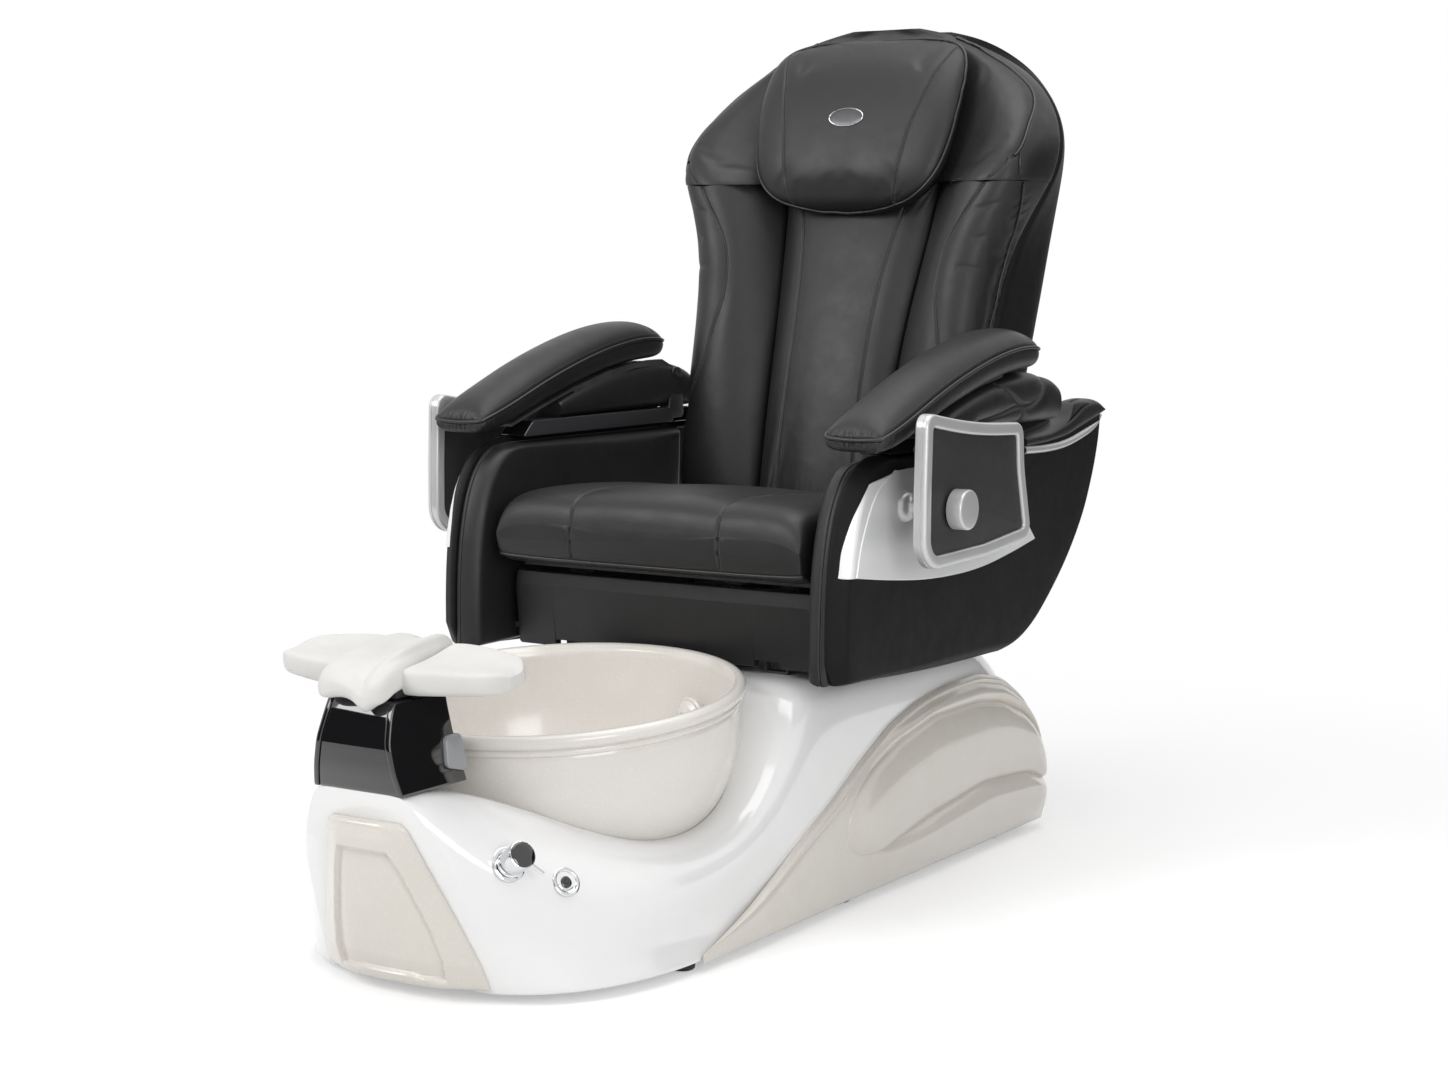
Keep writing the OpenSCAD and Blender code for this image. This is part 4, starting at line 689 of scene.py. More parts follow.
# ---- Footrest ------------------------------------------------------------------------------
# Self-skinned integral foam on a steel post that slides in the pedestal: a saddle over the
# middle with a raised band along one edge, and a wing for each foot.
foam = Finish("self_skinned_foam", (0.68, 0.67, 0.65), 0.52, level=0.4)
foam.tint(foam.group(film_group, Scale=9.0)["Patches"], (0.69, 0.68, 0.665), (0.64, 0.627, 0.60))
foam.bump(object_noise(foam.node, foam.join, 420.0, 4.0, 0.6), 0.0006, 0.3)
foam.bump(foam.group(ripple_group, Scale=16.0)["Height"], 0.004, 0.4)
finish_cad(steel, "footrest_post")
saddle_rows = [[-187, 38, 449, 16, 1], [-183, 54, 442, 32, 3], [-172, 60, 439, 47, 6],
    [-152, 61, 452, 42, 8], [-120, 60, 456.3, 46, 8], [-70, 58, 456.3, 52, 8], [-20, 56, 456.3, 57, 6],
    [8, 53, 457, 52, 4], [21, 42, 461, 38, 2], [25, 22, 467, 22, 0]]
saddle_section = ((0.5, 0), (1, 0), (1.06, 0.3), (1.04, 0.8), (0.75, 1.06), (0.3, 1), (0, 1), (-0.3, 1),
                  (-0.75, 1.06), (-1.04, 0.8), (-1.06, 0.3), (-1, 0), (-0.5, 0))
saddle_net = [[(x * w - 4 - 16 * float(ease(y, -180, 20)), y, low + z * h - (dip if x == 0 else 0))
               for x, z in saddle_section] for y, w, low, h, dip in saddle_rows]
saddle = closed_ends(lofted(saddle_net, 10, 10), crown=2)
saddle_shape = saddle.shape[:2]
x, y, z = saddle.reshape(-1, 3).T
front = ease(-y, 110, 178)
dent, swell = 12 * front * np.exp(-((x - 24) / 15) ** 2), 5 * front * np.exp(-((x + 18) / 24) ** 2)
saddle = np.column_stack([x, y, z - dent + swell])
band = np.exp(-((x - 38 + 16 * ease(y, -180, 20) + 8 * front) / 7.5) ** 4) * ease(z, 462, 482)
saddle += np.column_stack([0 * x, 0 * x, 5.5 * band])
piece = made("footrest_saddle", saddle, skin_faces(*saddle_shape), foam.material, "footrest",
             "footrest_centre", 60)
wing_rows = [[0, 66, 40, 0], [0.12, 66, 42, 0], [0.35, 62, 40, 2], [0.6, 56, 36, 4], [0.8, 48, 34, 5],
             [0.93, 36, 30, 6], [1, 16, 18, 10]]
wing_section = ((-0.6, 0), (-1, 0.02), (-1.04, 0.5), (-0.98, 0.97), (-0.8, 1.03), (0, 0.9), (0.8, 1.03),
                (0.98, 0.97), (1.04, 0.5), (1, 0.02), (0.6, 0))
wing_root, wing_reach, wing_y, wing_z, wing_low = 55, 153, -70, 477, 456.6
wing_net = [[(wing_root + wing_reach * share, wing_y - a * half, wing_low + raised + b * thick)
             for a, b in wing_section] for share, half, thick, raised in wing_rows]
wing = closed_ends(lofted(wing_net, 10, 10), crown=1)
lean = math.radians(11)
wing = wing - (0, wing_y, wing_z)
wing = np.stack([wing[..., 0], wing[..., 1] * math.cos(lean) - wing[..., 2] * math.sin(lean) + wing_y,
                 wing[..., 1] * math.sin(lean) + wing[..., 2] * math.cos(lean) + wing_z], -1)
for side, name in ((1, "left"), (-1, "right")):
    piece = made("footrest_pad_" + name, wing * (side, 1, 1), skin_faces(*wing.shape[:2]), foam.material,
        "footrest", "footrest_wing_" + name, 60)

# ---- Faucet and air button -----------------------------------------------------------------
# Chromed brass: a round escutcheon on the shell's shoulder, a turning cylinder with a gloss
# black cap and a lever pin, and beside it a pneumatic button in a dished ring.
faucet_spot, faucet_turns = (184, -65, 209), [("Y", 60), ("Z", -20)]
button_spot, button_turns = (232, 5, 175), [("Y", 58), ("Z", -18)]


def on_faucet(points):
    return shaped(points, faucet_spot, faucet_turns)


def on_button(points):
    return shaped(points, button_spot, button_turns)


def turned_piece(name, profile, place, finish, body, stands_for=()):
    points, faces = turned(profile, 96)
    return made(name, place(points), faces, finish.material, body, stands_for, 35)


turned_piece("faucet_plate", [(14.1, -1), (26, -1), (26, 2), (25.4, 3.4), (24, 4), (20, 4.4), (19.2, 5.6),
    (17.8, 6.2), (17.4, 9), (14.1, 9.2), (14.1, -1)], on_faucet, chrome, "base",
    "faucet_escutcheon")
turned_piece("faucet_stem", [(6.1, -24), (14, -24), (14, 11), (15.6, 11.6), (15.6, 13.4), (14, 14),
    (14, 26), (6.1, 26), (6.1, -24)], on_faucet, chrome, "base", "faucet_body")
turned_piece("faucet_barrel", [(6, 4), (6, 27.5), (16.6, 27.5), (16.6, 16), (17.2, 15.2), (19.8, 15.2),
    (20.5, 16), (20.5, 43.4), (19.9, 44.6), (18.9, 45), (18.4, 44.2), (0, 44.2)], on_faucet, chrome,
    "faucet_handle", "faucet_handle")
turned_piece("faucet_cap", [(0, 44.3), (18.3, 44.3), (18.3, 45.2), (17.2, 46), (10, 46.4), (0, 46.5)],
    on_faucet, piano, "faucet_handle")
pin_points, pin_faces = turned([(0, 14), (3.2, 14), (3.2, 40.6), (2.9, 41.6), (2.2, 42.2), (0, 42.4)], 32)
made("faucet_lever", on_faucet(shaped(pin_points, (0, 0, 35), [("Y", 90), ("Z", 45)])), pin_faces,
    chrome.material, "faucet_handle", (), 35)
turned_piece("button_dish", [(9.15, -10), (12, -10), (12, -0.5), (21.6, -0.5), (22, 0.2), (22, 3),
    (21.2, 4.4), (19.8, 5), (18, 5), (16.8, 4.4), (16, 3), (15.4, 2), (13.6, 1.4), (13, 2), (12.2, 2.2),
    (11.5, 1.6), (10.8, 0.8), (9.15, 0.6), (9.15, -10)], on_button, chrome, "base", "button_ring")
turned_piece("button_plunger", [(0, -14), (8.95, -14), (8.95, 2.6), (8.5, 3.6), (7.4, 4.2), (4.4, 4.4),
    (3.9, 3.7), (3.2, 3.6), (2.7, 4.4), (0, 4.7)], on_button, piano, "air_button",
    "air_button")


# ---- Seat slide and recline gear -----------------------------------------------------------
# Powder-coated steel out of sight under the seat: two channel rails on the deck, a carriage
# with runners, floor plate, seat pan and hinge ears, and a linear actuator with a forked rod.
finish_cad(steel, "seat_rails", "seat_carriage", "recline_actuator", "actuator_rod", "back_frame",
           "armrest_bracket_left", "armrest_bracket_right")
finish_cad(casing, "rear_cover")

# ---- Seat ----------------------------------------------------------------------------------
# A foam block in black upholstery leather, rolled over at the front, with two double-stitched
# seams that run back from the front edge, and piping round its lower edge. A plain padded
# panel of the same leather closes the front under it.

# Grain: pebbles of a pressed leather with finer pores, and the slow tone of the dye.
grain_group, node, join, given, put = socket_group(
    "leather_grain", [("Pebbles", "NodeSocketFloat", 620.0)],
    [("Height", "NodeSocketFloat"), ("Tone", "NodeSocketFloat"), ("Handling", "NodeSocketFloat")])
place, pebbles = node("ShaderNodeTexCoord"), node("ShaderNodeTexVoronoi", feature="SMOOTH_F1")
join(place.outputs["Object"], pebbles.inputs["Vector"])
join(given["Pebbles"], pebbles.inputs["Scale"])
pores = object_noise(node, join, 1900.0, 2.0)
mixed = node("ShaderNodeMath", operation="MULTIPLY_ADD")
join(pores, mixed.inputs[0])
mixed.inputs[1].default_value = 0.35
join(pebbles.outputs["Distance"], mixed.inputs[2])
join(mixed.outputs[0], put["Height"])
join(object_noise(node, join, 5.5, 3.0, 0.55), put["Tone"])
handled = node("ShaderNodeMapRange")
handled.inputs["From Min"].default_value, handled.inputs["From Max"].default_value = 0.35, 0.7
join(object_noise(node, join, 16.0, 5.0, 0.65), handled.inputs["Value"])
join(handled.outputs[0], put["Handling"])


def leather(name, colour, pale, rough, pebbles=620.0, depth=0.00035, level=0.5):
    hide = Finish(name, colour, rough, level=level)
    grain = hide.group(grain_group, Pebbles=pebbles)
    hide.tint(grain["Tone"], colour, pale)
    hide.spread(grain["Handling"], rough - 0.045, rough + 0.06)
    hide.bump(hide.group(ripple_group, Scale=34.0)["Height"], 0.0012, 0.5)
    hide.bump(grain["Height"], depth, 0.45)
    return hide


hide = leather("black_leather", (0.0115, 0.0115, 0.012), (0.016, 0.016, 0.0165), 0.45, level=0.4)
thread = Finish("sewing_thread", (0.07, 0.07, 0.072), 0.6)
thread.bump(object_noise(thread.node, thread.join, 3000.0), 0.0001, 0.5)
piping_hide = leather("piping_leather", (0.010, 0.010, 0.0105), (0.014, 0.014, 0.0145), 0.38, 900.0, 0.0002)


def read_points(piece):
    """The piece's points in stations, mm, and its normals."""
    mesh = piece.data
    co, normals = np.empty(len(mesh.vertices) * 3), np.empty(len(mesh.vertices) * 3)
    mesh.vertices.foreach_get("co", co)
    mesh.vertex_normals.foreach_get("vector", normals)
    return co.reshape(-1, 3) * 1000 + (0, mid_y, 0), normals.reshape(-1, 3)


def write_points(piece, points):
    piece.data.vertices.foreach_set("co", ((points - (0, mid_y, 0)) / 1000).ravel())
    piece.data.update()


def puff(piece, held, cap):
    """Blows the cover up like a stuffed cushion: cloth under pressure, held where it is sewn down.

    No point moves further than about cap, in mm.
    """
    start, _ = read_points(piece)
    group = piece.vertex_groups.new(name="held")
    group.add([int(i) for i in np.flatnonzero(held)], 1.0, "REPLACE")
    cloth = piece.modifiers.new("cover", "CLOTH")
    cloth.settings.quality = 5
    cloth.settings.mass = 0.25
    cloth.settings.tension_stiffness = cloth.settings.compression_stiffness = 14.0
    cloth.settings.shear_stiffness = 7.0
    cloth.settings.bending_stiffness = 0.6
    cloth.settings.use_pressure = True
    cloth.settings.uniform_pressure_force = 4.0
    cloth.settings.vertex_group_mass = "held"
    cloth.settings.effector_weights.gravity = 0
    cloth.collision_settings.use_collision = False
    last_step = 20
    cloth.point_cache.frame_start, cloth.point_cache.frame_end = 1, last_step
    for step in range(1, last_step + 1):
        studio.frame_set(step)
    ready = piece.evaluated_get(bpy.context.evaluated_depsgraph_get())
    co = np.empty(len(piece.data.vertices) * 3)
    ready.data.vertices.foreach_get("co", co)
    moved = co.reshape(-1, 3) * 1000 + (0, mid_y, 0) - start
    far = np.linalg.norm(moved, axis=1)
    share = cap * np.tanh(far / cap) / np.maximum(far, 1e-9)
    piece.modifiers.clear()
    piece.vertex_groups.clear()
    studio.frame_set(1)
    write_points(piece, start + moved * share[:, None])


def finer(piece):
    """Subdivides the cover's mesh."""
    smooth = piece.modifiers.new("finer", "SUBSURF")
    smooth.levels = smooth.render_levels = 1
    settle(piece)
    piece.data.shade_smooth()


def even(line, step=2.0, closed=False):
    """Smooth curve through the points of a line, one point every step mm."""
    p = np.asarray(line, float)
    ends = (p[-1:], p[:2]) if closed else (2 * p[:1] - p[1:2], 2 * p[-1:] - p[-2:-1])
    p = np.concatenate([ends[0], p, ends[1]])
    t = np.linspace(0, 1, 24, endpoint=False)[:, None]
    spans = [0.5 * (2 * b + (c - a) * t + (2 * a - 5 * b + 4 * c - d) * t ** 2
                    + (3 * b - a - 3 * c + d) * t ** 3) for a, b, c, d in zip(p, p[1:], p[2:], p[3:])]
    run = np.concatenate(spans + [p[-2:-1]])
    far = np.concatenate([[0], np.cumsum(np.linalg.norm(np.diff(run, axis=0), axis=1))])
    at = np.linspace(0, far[-1], max(2, round(far[-1] / step)) + 1)
    run = np.column_stack([np.interp(at, far, run[:, i]) for i in range(p.shape[1])])
    return run[:-1] if closed else run


def surface_of(piece):
    shape = bmesh.new()
    shape.from_mesh(piece.data)
    tree = BVHTree.FromBMesh(shape)
    shape.free()
    return tree


def averaged(rows, reach):
    """Running mean down the rows."""
    padded_rows = np.pad(rows, ((reach, reach), (0, 0)), "edge")
    share = np.ones(2 * reach + 1) / (2 * reach + 1)
    return np.column_stack([np.convolve(column, share, "valid") for column in padded_rows.T])


def laid_on(piece, line, way=None, lift=0.0, tree=None):
    """A line's points dropped on the piece, along a way or to the nearest place, and the normals there."""
    tree = tree or surface_of(piece)
    points, normals = [], []
    for p in (np.asarray(line) - (0, mid_y, 0)) / 1000:
        spot = Vector(p)
        hit = tree.ray_cast(spot - Vector(way) * 0.25, Vector(way), 0.6) if way else (None,)
        if hit[0] is None:
            hit = tree.find_nearest(spot)
        points.append(hit[0])
        normals.append(hit[1])
    normals = averaged(np.array(normals), 4)
    normals /= np.linalg.norm(normals, axis=1)[:, None]
    return averaged(np.array(points) * 1000 + (0, mid_y, 0), 2) + normals * lift, normals


def near_lines(points, lines, reach):
    """For the points near each stretch of a line: their indices, distances and nearest places on it."""
    for line in lines:
        for first in range(0, len(line), 24):
            run = line[first:first + 25]
            near = np.flatnonzero(((points > run.min(0) - reach) & (points < run.max(0) + reach)).all(1))
            if len(near):
                gap = ((points[near, None] - run[None]) ** 2).sum(2)
                yield near, np.sqrt(gap.min(1)), gap.argmin(1) + first, len(line)


def sew(piece, lines, depth=2.6, width=3.2, pull=1.2, pull_width=16.0, fading=False):
    """Draws the cover in along its seams: a narrow fold in a shallow valley, on a mesh made fine there."""
    points, _ = read_points(piece)
    close = np.zeros(len(points), bool)
    for part, away, _, _ in near_lines(points, lines, 12):
        close[part[away < 2.6 * width + 1]] = True
    shape = bmesh.new()
    shape.from_mesh(piece.data)
    edges = [e for e in shape.edges if close[e.verts[0].index] and close[e.verts[1].index]]
    bmesh.ops.subdivide_edges(shape, edges=edges, cuts=2, use_grid_fill=True)
    shape.to_mesh(piece.data)
    shape.free()
    piece.data.shade_smooth()
    points, normals = read_points(piece)
    fold = np.zeros(len(points))
    reach = max(2.4 * pull_width * (pull > 0), 2.6 * width)
    for part, away, place_on, count in near_lines(points, lines, reach):
        fade = np.sin(np.pi * (place_on + 0.5) / count) ** 0.7 if fading else 1.0
        drawn = (depth * np.exp(-(away / width) ** 2) + pull * np.exp(-(away / pull_width) ** 2)) * fade
        fold[part] = np.maximum(fold[part], drawn)
    write_points(piece, points - normals * fold[:, None])


def run_frames(points, normals=None, closed=False):
    """Unit tangents, normals and sides along a line."""
    ahead = np.roll(points, -1, 0) - np.roll(points, 1, 0)
    if not closed:
        ahead[0], ahead[-1] = points[1] - points[0], points[-1] - points[-2]
    ahead /= np.linalg.norm(ahead, axis=1)[:, None]
    if normals is None:
        normals = np.zeros_like(points)
        up = np.array([0.0, 0.0, 1.0]) if abs(ahead[0][2]) < 0.9 else np.array([0.0, 1.0, 0.0])
        for i, t in enumerate(ahead):
            up = up - t * (up @ t)
            up /= np.linalg.norm(up)
            normals[i] = up
    side = np.cross(ahead, normals)
    side /= np.linalg.norm(side, axis=1)[:, None]
    return ahead, np.cross(side, ahead), side


def piped(name, points, radius, finish, body, closed=False):
    """Cord of piping along a line, round in section."""
    points = sum(np.roll(points, s, 0) for s in range(-3, 4)) / 7 if closed else averaged(points, 3)
    _, up, side = run_frames(points, None, closed)
    m, n = len(points), 10
    rings = [points + radius * (math.cos(a) * up + math.sin(a) * side) for a in np.arange(n) * math.tau / n]
    rings = np.stack(rings, 1)
    faces = skin_faces(m, n)
    if closed:
        shift = int(np.argmin([np.linalg.norm(np.roll(rings[0], s, 0) - rings[-1], axis=1).sum()
                               for s in range(n)]))
        last = (m - 1) * n
        faces = faces[:-2] + [[last + (j - shift) % n, last + (j + 1 - shift) % n, (j + 1) % n, j]
                              for j in range(n)]
    return made(name, rings, faces, finish.material, body, (), 60)


def stitched(name, piece, seams, finish, body, rows=(-3.4, 3.4), pitch=4.4, length=3.0, radius=0.68):
    """Rows of single stitches beside seam lines, laid on the piece's surface."""
    tree, every = surface_of(piece), []
    for seam in seams:
        points, normals = laid_on(piece, seam, tree=tree)
        _, _, side = run_frames(points, normals)
        for row in rows:
            track, up = laid_on(piece, points + side * row + normals * 2, tree=tree)
            far = np.concatenate([[0], np.cumsum(np.linalg.norm(np.diff(track, axis=0), axis=1))])
            spots = np.arange(pitch / 2, far[-1] - pitch / 2, pitch)
            frames = (track, *run_frames(track, up))
            p, t, u, s = (np.column_stack([np.interp(spots, far, q[:, i]) for i in range(3)]) for q in frames)
            rings = [p - t * length / 2]
            for reach in (-0.28, 0.28):
                rings += [p + t * length * reach + (u * a + s * b) * radius
                          for a, b in ((1, 0), (0, 1), (-1, 0), (0, -1))]
            every.append(np.stack(rings + [p + t * length / 2], 1))
    every = np.concatenate(every)
    faces = [(0, 1 + (j + 1) % 4, 1 + j) for j in range(4)]
    faces += [(9, 5 + j, 5 + (j + 1) % 4) for j in range(4)]
    faces += [(1 + j, 1 + (j + 1) % 4, 5 + (j + 1) % 4, 5 + j) for j in range(4)]
    faces = [tuple(q + 10 * i for q in f) for i in range(len(every)) for f in faces]
    return made(name, every, faces, finish.material, body, (), 80)


seat_half, seat_low, seat_crown, channel = 304, 540, 668, 145
seat_rows = [[536, 0.985, 42, 0.56], [539, 0.99, 22, 0.71], [548, 0.995, 9, 0.85], [568, 1, 2, 0.95],
    [606, 1, 0, 0.998], [700, 1, 0, 0.99], [820, 1, 0, 0.92], [940, 1, 0, 0.81], [1030, 1, 0, 0.7],
    [1054, 0.99, 6, 0.61], [1060, 0.98, 20, 0.47]]
seat_net = []
for y, share, rise, fill in seat_rows:
    w, lo, hi = seat_half * share, seat_low + rise, seat_low + fill * (seat_crown - seat_low)
    half = [(40, lo), (channel - 16, lo), (channel, lo), (channel + 16, lo), (w - 60, lo), (w - 12, lo),
        (w, lo + 6), (w, (lo + hi) / 2), (w - 4, hi - 16), (w - 40, hi + 1), (channel + 36, hi + 3),
        (channel, hi + 1), (channel - 36, hi + 4), (40, hi + 6)]
    half += [(-x, z) for x, z in half[::-1]]
    seat_net.append([(x, y, z) for x, z in half])
front_shares = (0.94, 0.88, 0.82, 0.76, 0.7, 0.64, 0.59, 0.55, 0.52, 0.49, 0.46, 0.43, 0.39, 0.33, 0.2)
seat = closed_ends(lofted(seat_net, 8, 7), front_shares, 2)
seat_cushion = made("seat_cover", seat, skin_faces(*seat.shape[:2], True), hide.material, "chair",
    "seat_cushion", 180)
columns = [10 * 8, 15 * 8]
held = np.zeros(seat.shape[:2], bool)
held[:, columns] = True
held |= (seat[..., 2] < seat_low + 8) | (seat[..., 1] > 1040) | (seat[..., 1] < 600)
puff(seat_cushion, held.ravel(), 6)
cover, _ = read_points(seat_cushion)
cover = cover.reshape(seat.shape)
finer(seat_cushion)
seams = []
for column in columns:
    line = cover[len(front_shares) + 1:, column]
    line = line[line[:, 1] < 1035]
    drop = [(line[0][0] * 1.01, 533, z) for z in (554, 572, 590)]
    seams.append(laid_on(seat_cushion, even(np.concatenate([drop, line[2::3]])))[0])
sew(seat_cushion, seams, 2.6, 2.8, 0.8, 14)
stitched("seat_stitches", seat_cushion, seams, thread, "chair", (-4.2, 4.2))
low_edge = even([(-300, 600, 552), (-302, 556, 553), (-296, 543, 556), (-200, 538.5, 549), (-90, 537.5, 546),
                 (90, 537.5, 546), (200, 538.5, 549), (296, 543, 556), (302, 556, 553), (300, 600, 552)])
edge_points, _ = laid_on(seat_cushion, low_edge, None, 0.8)
piped("seat_piping", edge_points, 2.9, piping_hide, "chair")

panel_profile = bevelled(np.array([(603, 396), (617.6, 396), (617.6, 524), (597, 524), (593, 500)], float),
    4, 5)
panel_rings = []
rail_gap, gap_top = (175.5, 224.5), 407.5
notch_edges = [side * x for side in (-1, 1) for edge in rail_gap for x in (edge - 0.4, edge, edge + 0.4)]
panel_xs = sorted([*np.linspace(-290, 290, 40), *notch_edges])
panel_end = [(302.6, 5), (301.6, 2), (299, 0)]
for x, draw in [(-x, d) for x, d in panel_end] + [(x, 0) for x in panel_xs] + panel_end[::-1]:
    q = panel_profile + inward_of(panel_profile) * draw
    swell = 2.5 * (1 - (x / 303) ** 10) * ease(q[:, 1], 396, 440) * (q[:, 0] < 610)
    notch = gap_top if rail_gap[0] <= abs(x) <= rail_gap[1] else 0
    panel_rings.append([(x, y - d, max(z, notch)) for (y, z), d in zip(q, swell)])
panel_rings = np.array(panel_rings)
leg_panel = made("leg_panel", panel_rings, skin_faces(*panel_rings.shape[:2]), hide.material, "chair",
    "seat_panel", 50)

# ---- Arms ----------------------------------------------------------------------------------
# Plywood boxes padded in leather on the inside and front, with a seam in a narrow valley. A
# pressed shell in fine-grained black closes the outside; a padded roll tops its tail, and a
# satin metal leaf and strip are clipped on it.
arm_front = [(506, 394), (502, 430), (502, 480), (505, 540), (513, 600), (530, 660), (556, 705), (590, 733),
    (630, 745)]
arm_tail = [(1150, 745), (1240, 749), (1320, 767), (1380, 795), (1430, 797), (1458, 787), (1464, 763),
    (1455, 715), (1432, 655), (1394, 587), (1330, 513), (1250, 445), (1180, 400), (1110, 376), (1040, 374),
    (830, 378), (600, 390)]
shell_hide = leather("grained_shell", (0.0075, 0.0075, 0.0078), (0.0100, 0.0100, 0.0103), 0.55, 1300.0,
    0.00022, 0.12)
brushed_group, node, join, given, put = socket_group(
    "brushed_lines", [("Fineness", "NodeSocketFloat", 1.0)], [("Lines", "NodeSocketFloat")])
place, stretch = node("ShaderNodeTexCoord"), node("ShaderNodeMapping")
stretch.inputs["Scale"].default_value = (900, 16, 1400)
join(place.outputs["Object"], stretch.inputs["Vector"])
lines = node("ShaderNodeTexNoise")
join(stretch.outputs["Vector"], lines.inputs["Vector"])
join(given["Fineness"], lines.inputs["Scale"])
lines.inputs["Detail"].default_value = 2.0
join(lines.outputs["Fac"], put["Lines"])
satin = Finish("satin_metal", (0.60, 0.602, 0.61), 0.36, metallic=0.4)
satin.spread(satin.group(film_group, Scale=9.0)["Patches"], 0.29, 0.38)
satin.bump(satin.group(brushed_group)["Lines"], 0.00002, 0.12)
# The leaves take a paler copy of the satin metal of the strip and trays. Its extra brightness is painted light
# that lifts the leaf where the tray's shadow falls on it.
leaf_satin_painted_light = Finish("satin_leaf_painted_light", (0.86, 0.862, 0.87), 0.4, metallic=0.25)
leaf_satin_painted_light.spread(leaf_satin_painted_light.group(film_group, Scale=9.0)["Patches"], 0.33, 0.42)
leaf_satin_painted_light.bump(leaf_satin_painted_light.group(brushed_group)["Lines"], 0.00002, 0.12)


def ring_toward(outline, x, w, centre):
    """Outline in side view moved w towards a centre, at x."""
    outline = np.asarray(outline, float)
    way = np.asarray(centre) - outline
    q = outline + way / np.linalg.norm(way, axis=1)[:, None] * w
    return np.column_stack([np.full(len(q), x), q])


def slab(front, back):
    """Closed form between two grids of points of one shape."""
    m, n = front.shape[:2]
    k = m * n
    i, j = np.meshgrid(np.arange(m - 1), np.arange(n - 1), indexing="ij")
    a = (i * n + j).ravel()
    quads = np.stack([a, a + 1, a + n + 1, a + n], 1)
    rim = list(range(n)) + [i * n + n - 1 for i in range(1, m)] + list(range(k - 2, k - n - 1, -1)) + [
        i * n for i in range(m - 2, 0, -1)]
    walls = [(q, p, p + k, q + k) for p, q in zip(rim, rim[1:] + rim[:1])]
    faces = quads.tolist() + (quads[:, ::-1] + k).tolist() + walls
    return np.concatenate([front.reshape(-1, 3), back.reshape(-1, 3)]), faces


body_edge = even(np.array(arm_front[:0:-1]) + (4, -4), 6)
body_edge = np.concatenate([[(1150, z) for z in np.linspace(394, 730, 30)], [(1150, 737)],
    [(y, 737) for y in np.linspace(1140, 650, 60)],
    even([(636, 737), (594, 729), (560, 701), (534, 656), (517, 596), (509, 536), (506, 476), (506, 426),
    (508, 394)], 5), [(y, 394) for y in np.linspace(520, 1140, 60)]])
body_rings = [ring_toward(body_edge, x, w, (1000, 590))
    for x, w in ((324, 26), (324.6, 20), (326, 16), (329, 12), (334, 7.4), (340, 4), (347, 1.4),
    (351.5, 0.2), (353.2, 0.2), (354.2, 1.2), (355, 2.8), (355.8, 1.2), (356.8, 0.1), (359.5, 0),
    (362, 0.8), (364, 2.4), (365, 4))]
body_rings = closed_ends(np.array(body_rings), (0.9, 0.75, 0.5, 0.25), 1.6)
arm_edge = np.concatenate([even(arm_tail, 9), even([(600, 390), (540, 392), (510, 397)], 8)[1:-1],
    even(arm_front[1:] + [(660, 746)], 5), [(y, 745) for y in np.linspace(680, 1130, 50)]])
side_rings = [ring_toward(arm_edge, x, w, (960, 600)) for x, w in ((365.3, 2.6), (366.2, 1.2), (367.6, 0.3),
    (370.3, 0), (374, 1.2), (379, 4.1), (384, 7.4), (388, 9.8), (391.5, 12.2), (394.4, 14.8), (396.6, 17.6),
    (397.7, 20.6), (398, 24))]
side_rings = closed_ends(np.array(side_rings), (0.9, 0.7, 0.4), 0.0)
front_seam = even([(506, 400), (506, 426), (506, 476), (509, 536), (517, 596), (534, 656), (560, 701),
    (594, 729), (636, 737), (800, 737), (1000, 737), (1140, 737)], 4)

roll_y = np.concatenate([np.linspace(1134, 1430, 46),
    1431 + 31 * np.sin(np.linspace(0.05, 1, 16) * np.pi / 2)])
roll_rings = []
for y in roll_y:
    top = fair([(1100, 744), (1150, 745.5), (1240, 751), (1320, 769), (1380, 796), (1430, 798.5),
        (1458, 789), (1466, 777)], y, 14)
    low = fair([(1100, 727), (1220, 728), (1300, 733), (1380, 747), (1446, 763), (1466, 772)], y, 14)
    close = math.sqrt(max(0.0, 1 - ((y - 1431) / 31.3) ** 2)) if y > 1431 else 1.0
    half = (top - low) / 2 * close + 0.3
    a = np.linspace(0, math.tau, 40, endpoint=False)
    r = (np.abs(np.cos(a)) ** 3 + np.abs(np.sin(a)) ** 3) ** (-1 / 3)
    wide = 17.6 * close + 1 + 14 * float(ease(y, 1134, 1250)) * close
    roll_rings.append(np.column_stack([401.5 - wide + wide * np.cos(a) * r, np.full(40, y),
        (top + low) / 2 + half * np.sin(a) * r]))
roll_rings = np.array(roll_rings)

ridge = even([(539, 565.5), (554, 615), (582, 667), (610, 697), (652, 716)], 4)
hem = even([(514, 566), (522, 607), (539, 651), (559, 681), (582, 706)], 4)
crest = even([(1168, 566), (1120, 610), (1050, 655), (960, 690), (860, 712), (740, 722), (664, 722)], 6)
hollow = even([(539, 565.5), (640, 552), (760, 540), (880, 536), (980, 540), (1080, 552), (1168, 566)], 6)


def share_of(line, n, power=1.0):
    """n points along a line at even or bunched shares of it."""
    at = np.linspace(0, 1, n) ** power * (len(line) - 1)
    return np.column_stack([np.interp(at, np.arange(len(line)), line[:, i]) for i in range(line.shape[1])])


left_shell = made("arm_casing_left", side_rings, skin_faces(*side_rings.shape[:2]), shell_hide.material,
    "chair", "arm_shell_left", 60)
shell_tree = surface_of(left_shell)


def shell_x(spots):
    """How far out the left arm's shell stands at places in side view."""
    hits = [shell_tree.ray_cast(Vector((0.45, (y - mid_y) / 1000, z / 1000)), Vector((-1, 0, 0)), 0.2)[0]
        for y, z in spots]
    return np.array([1000 * h[0] if h else 372.0 for h in hits])


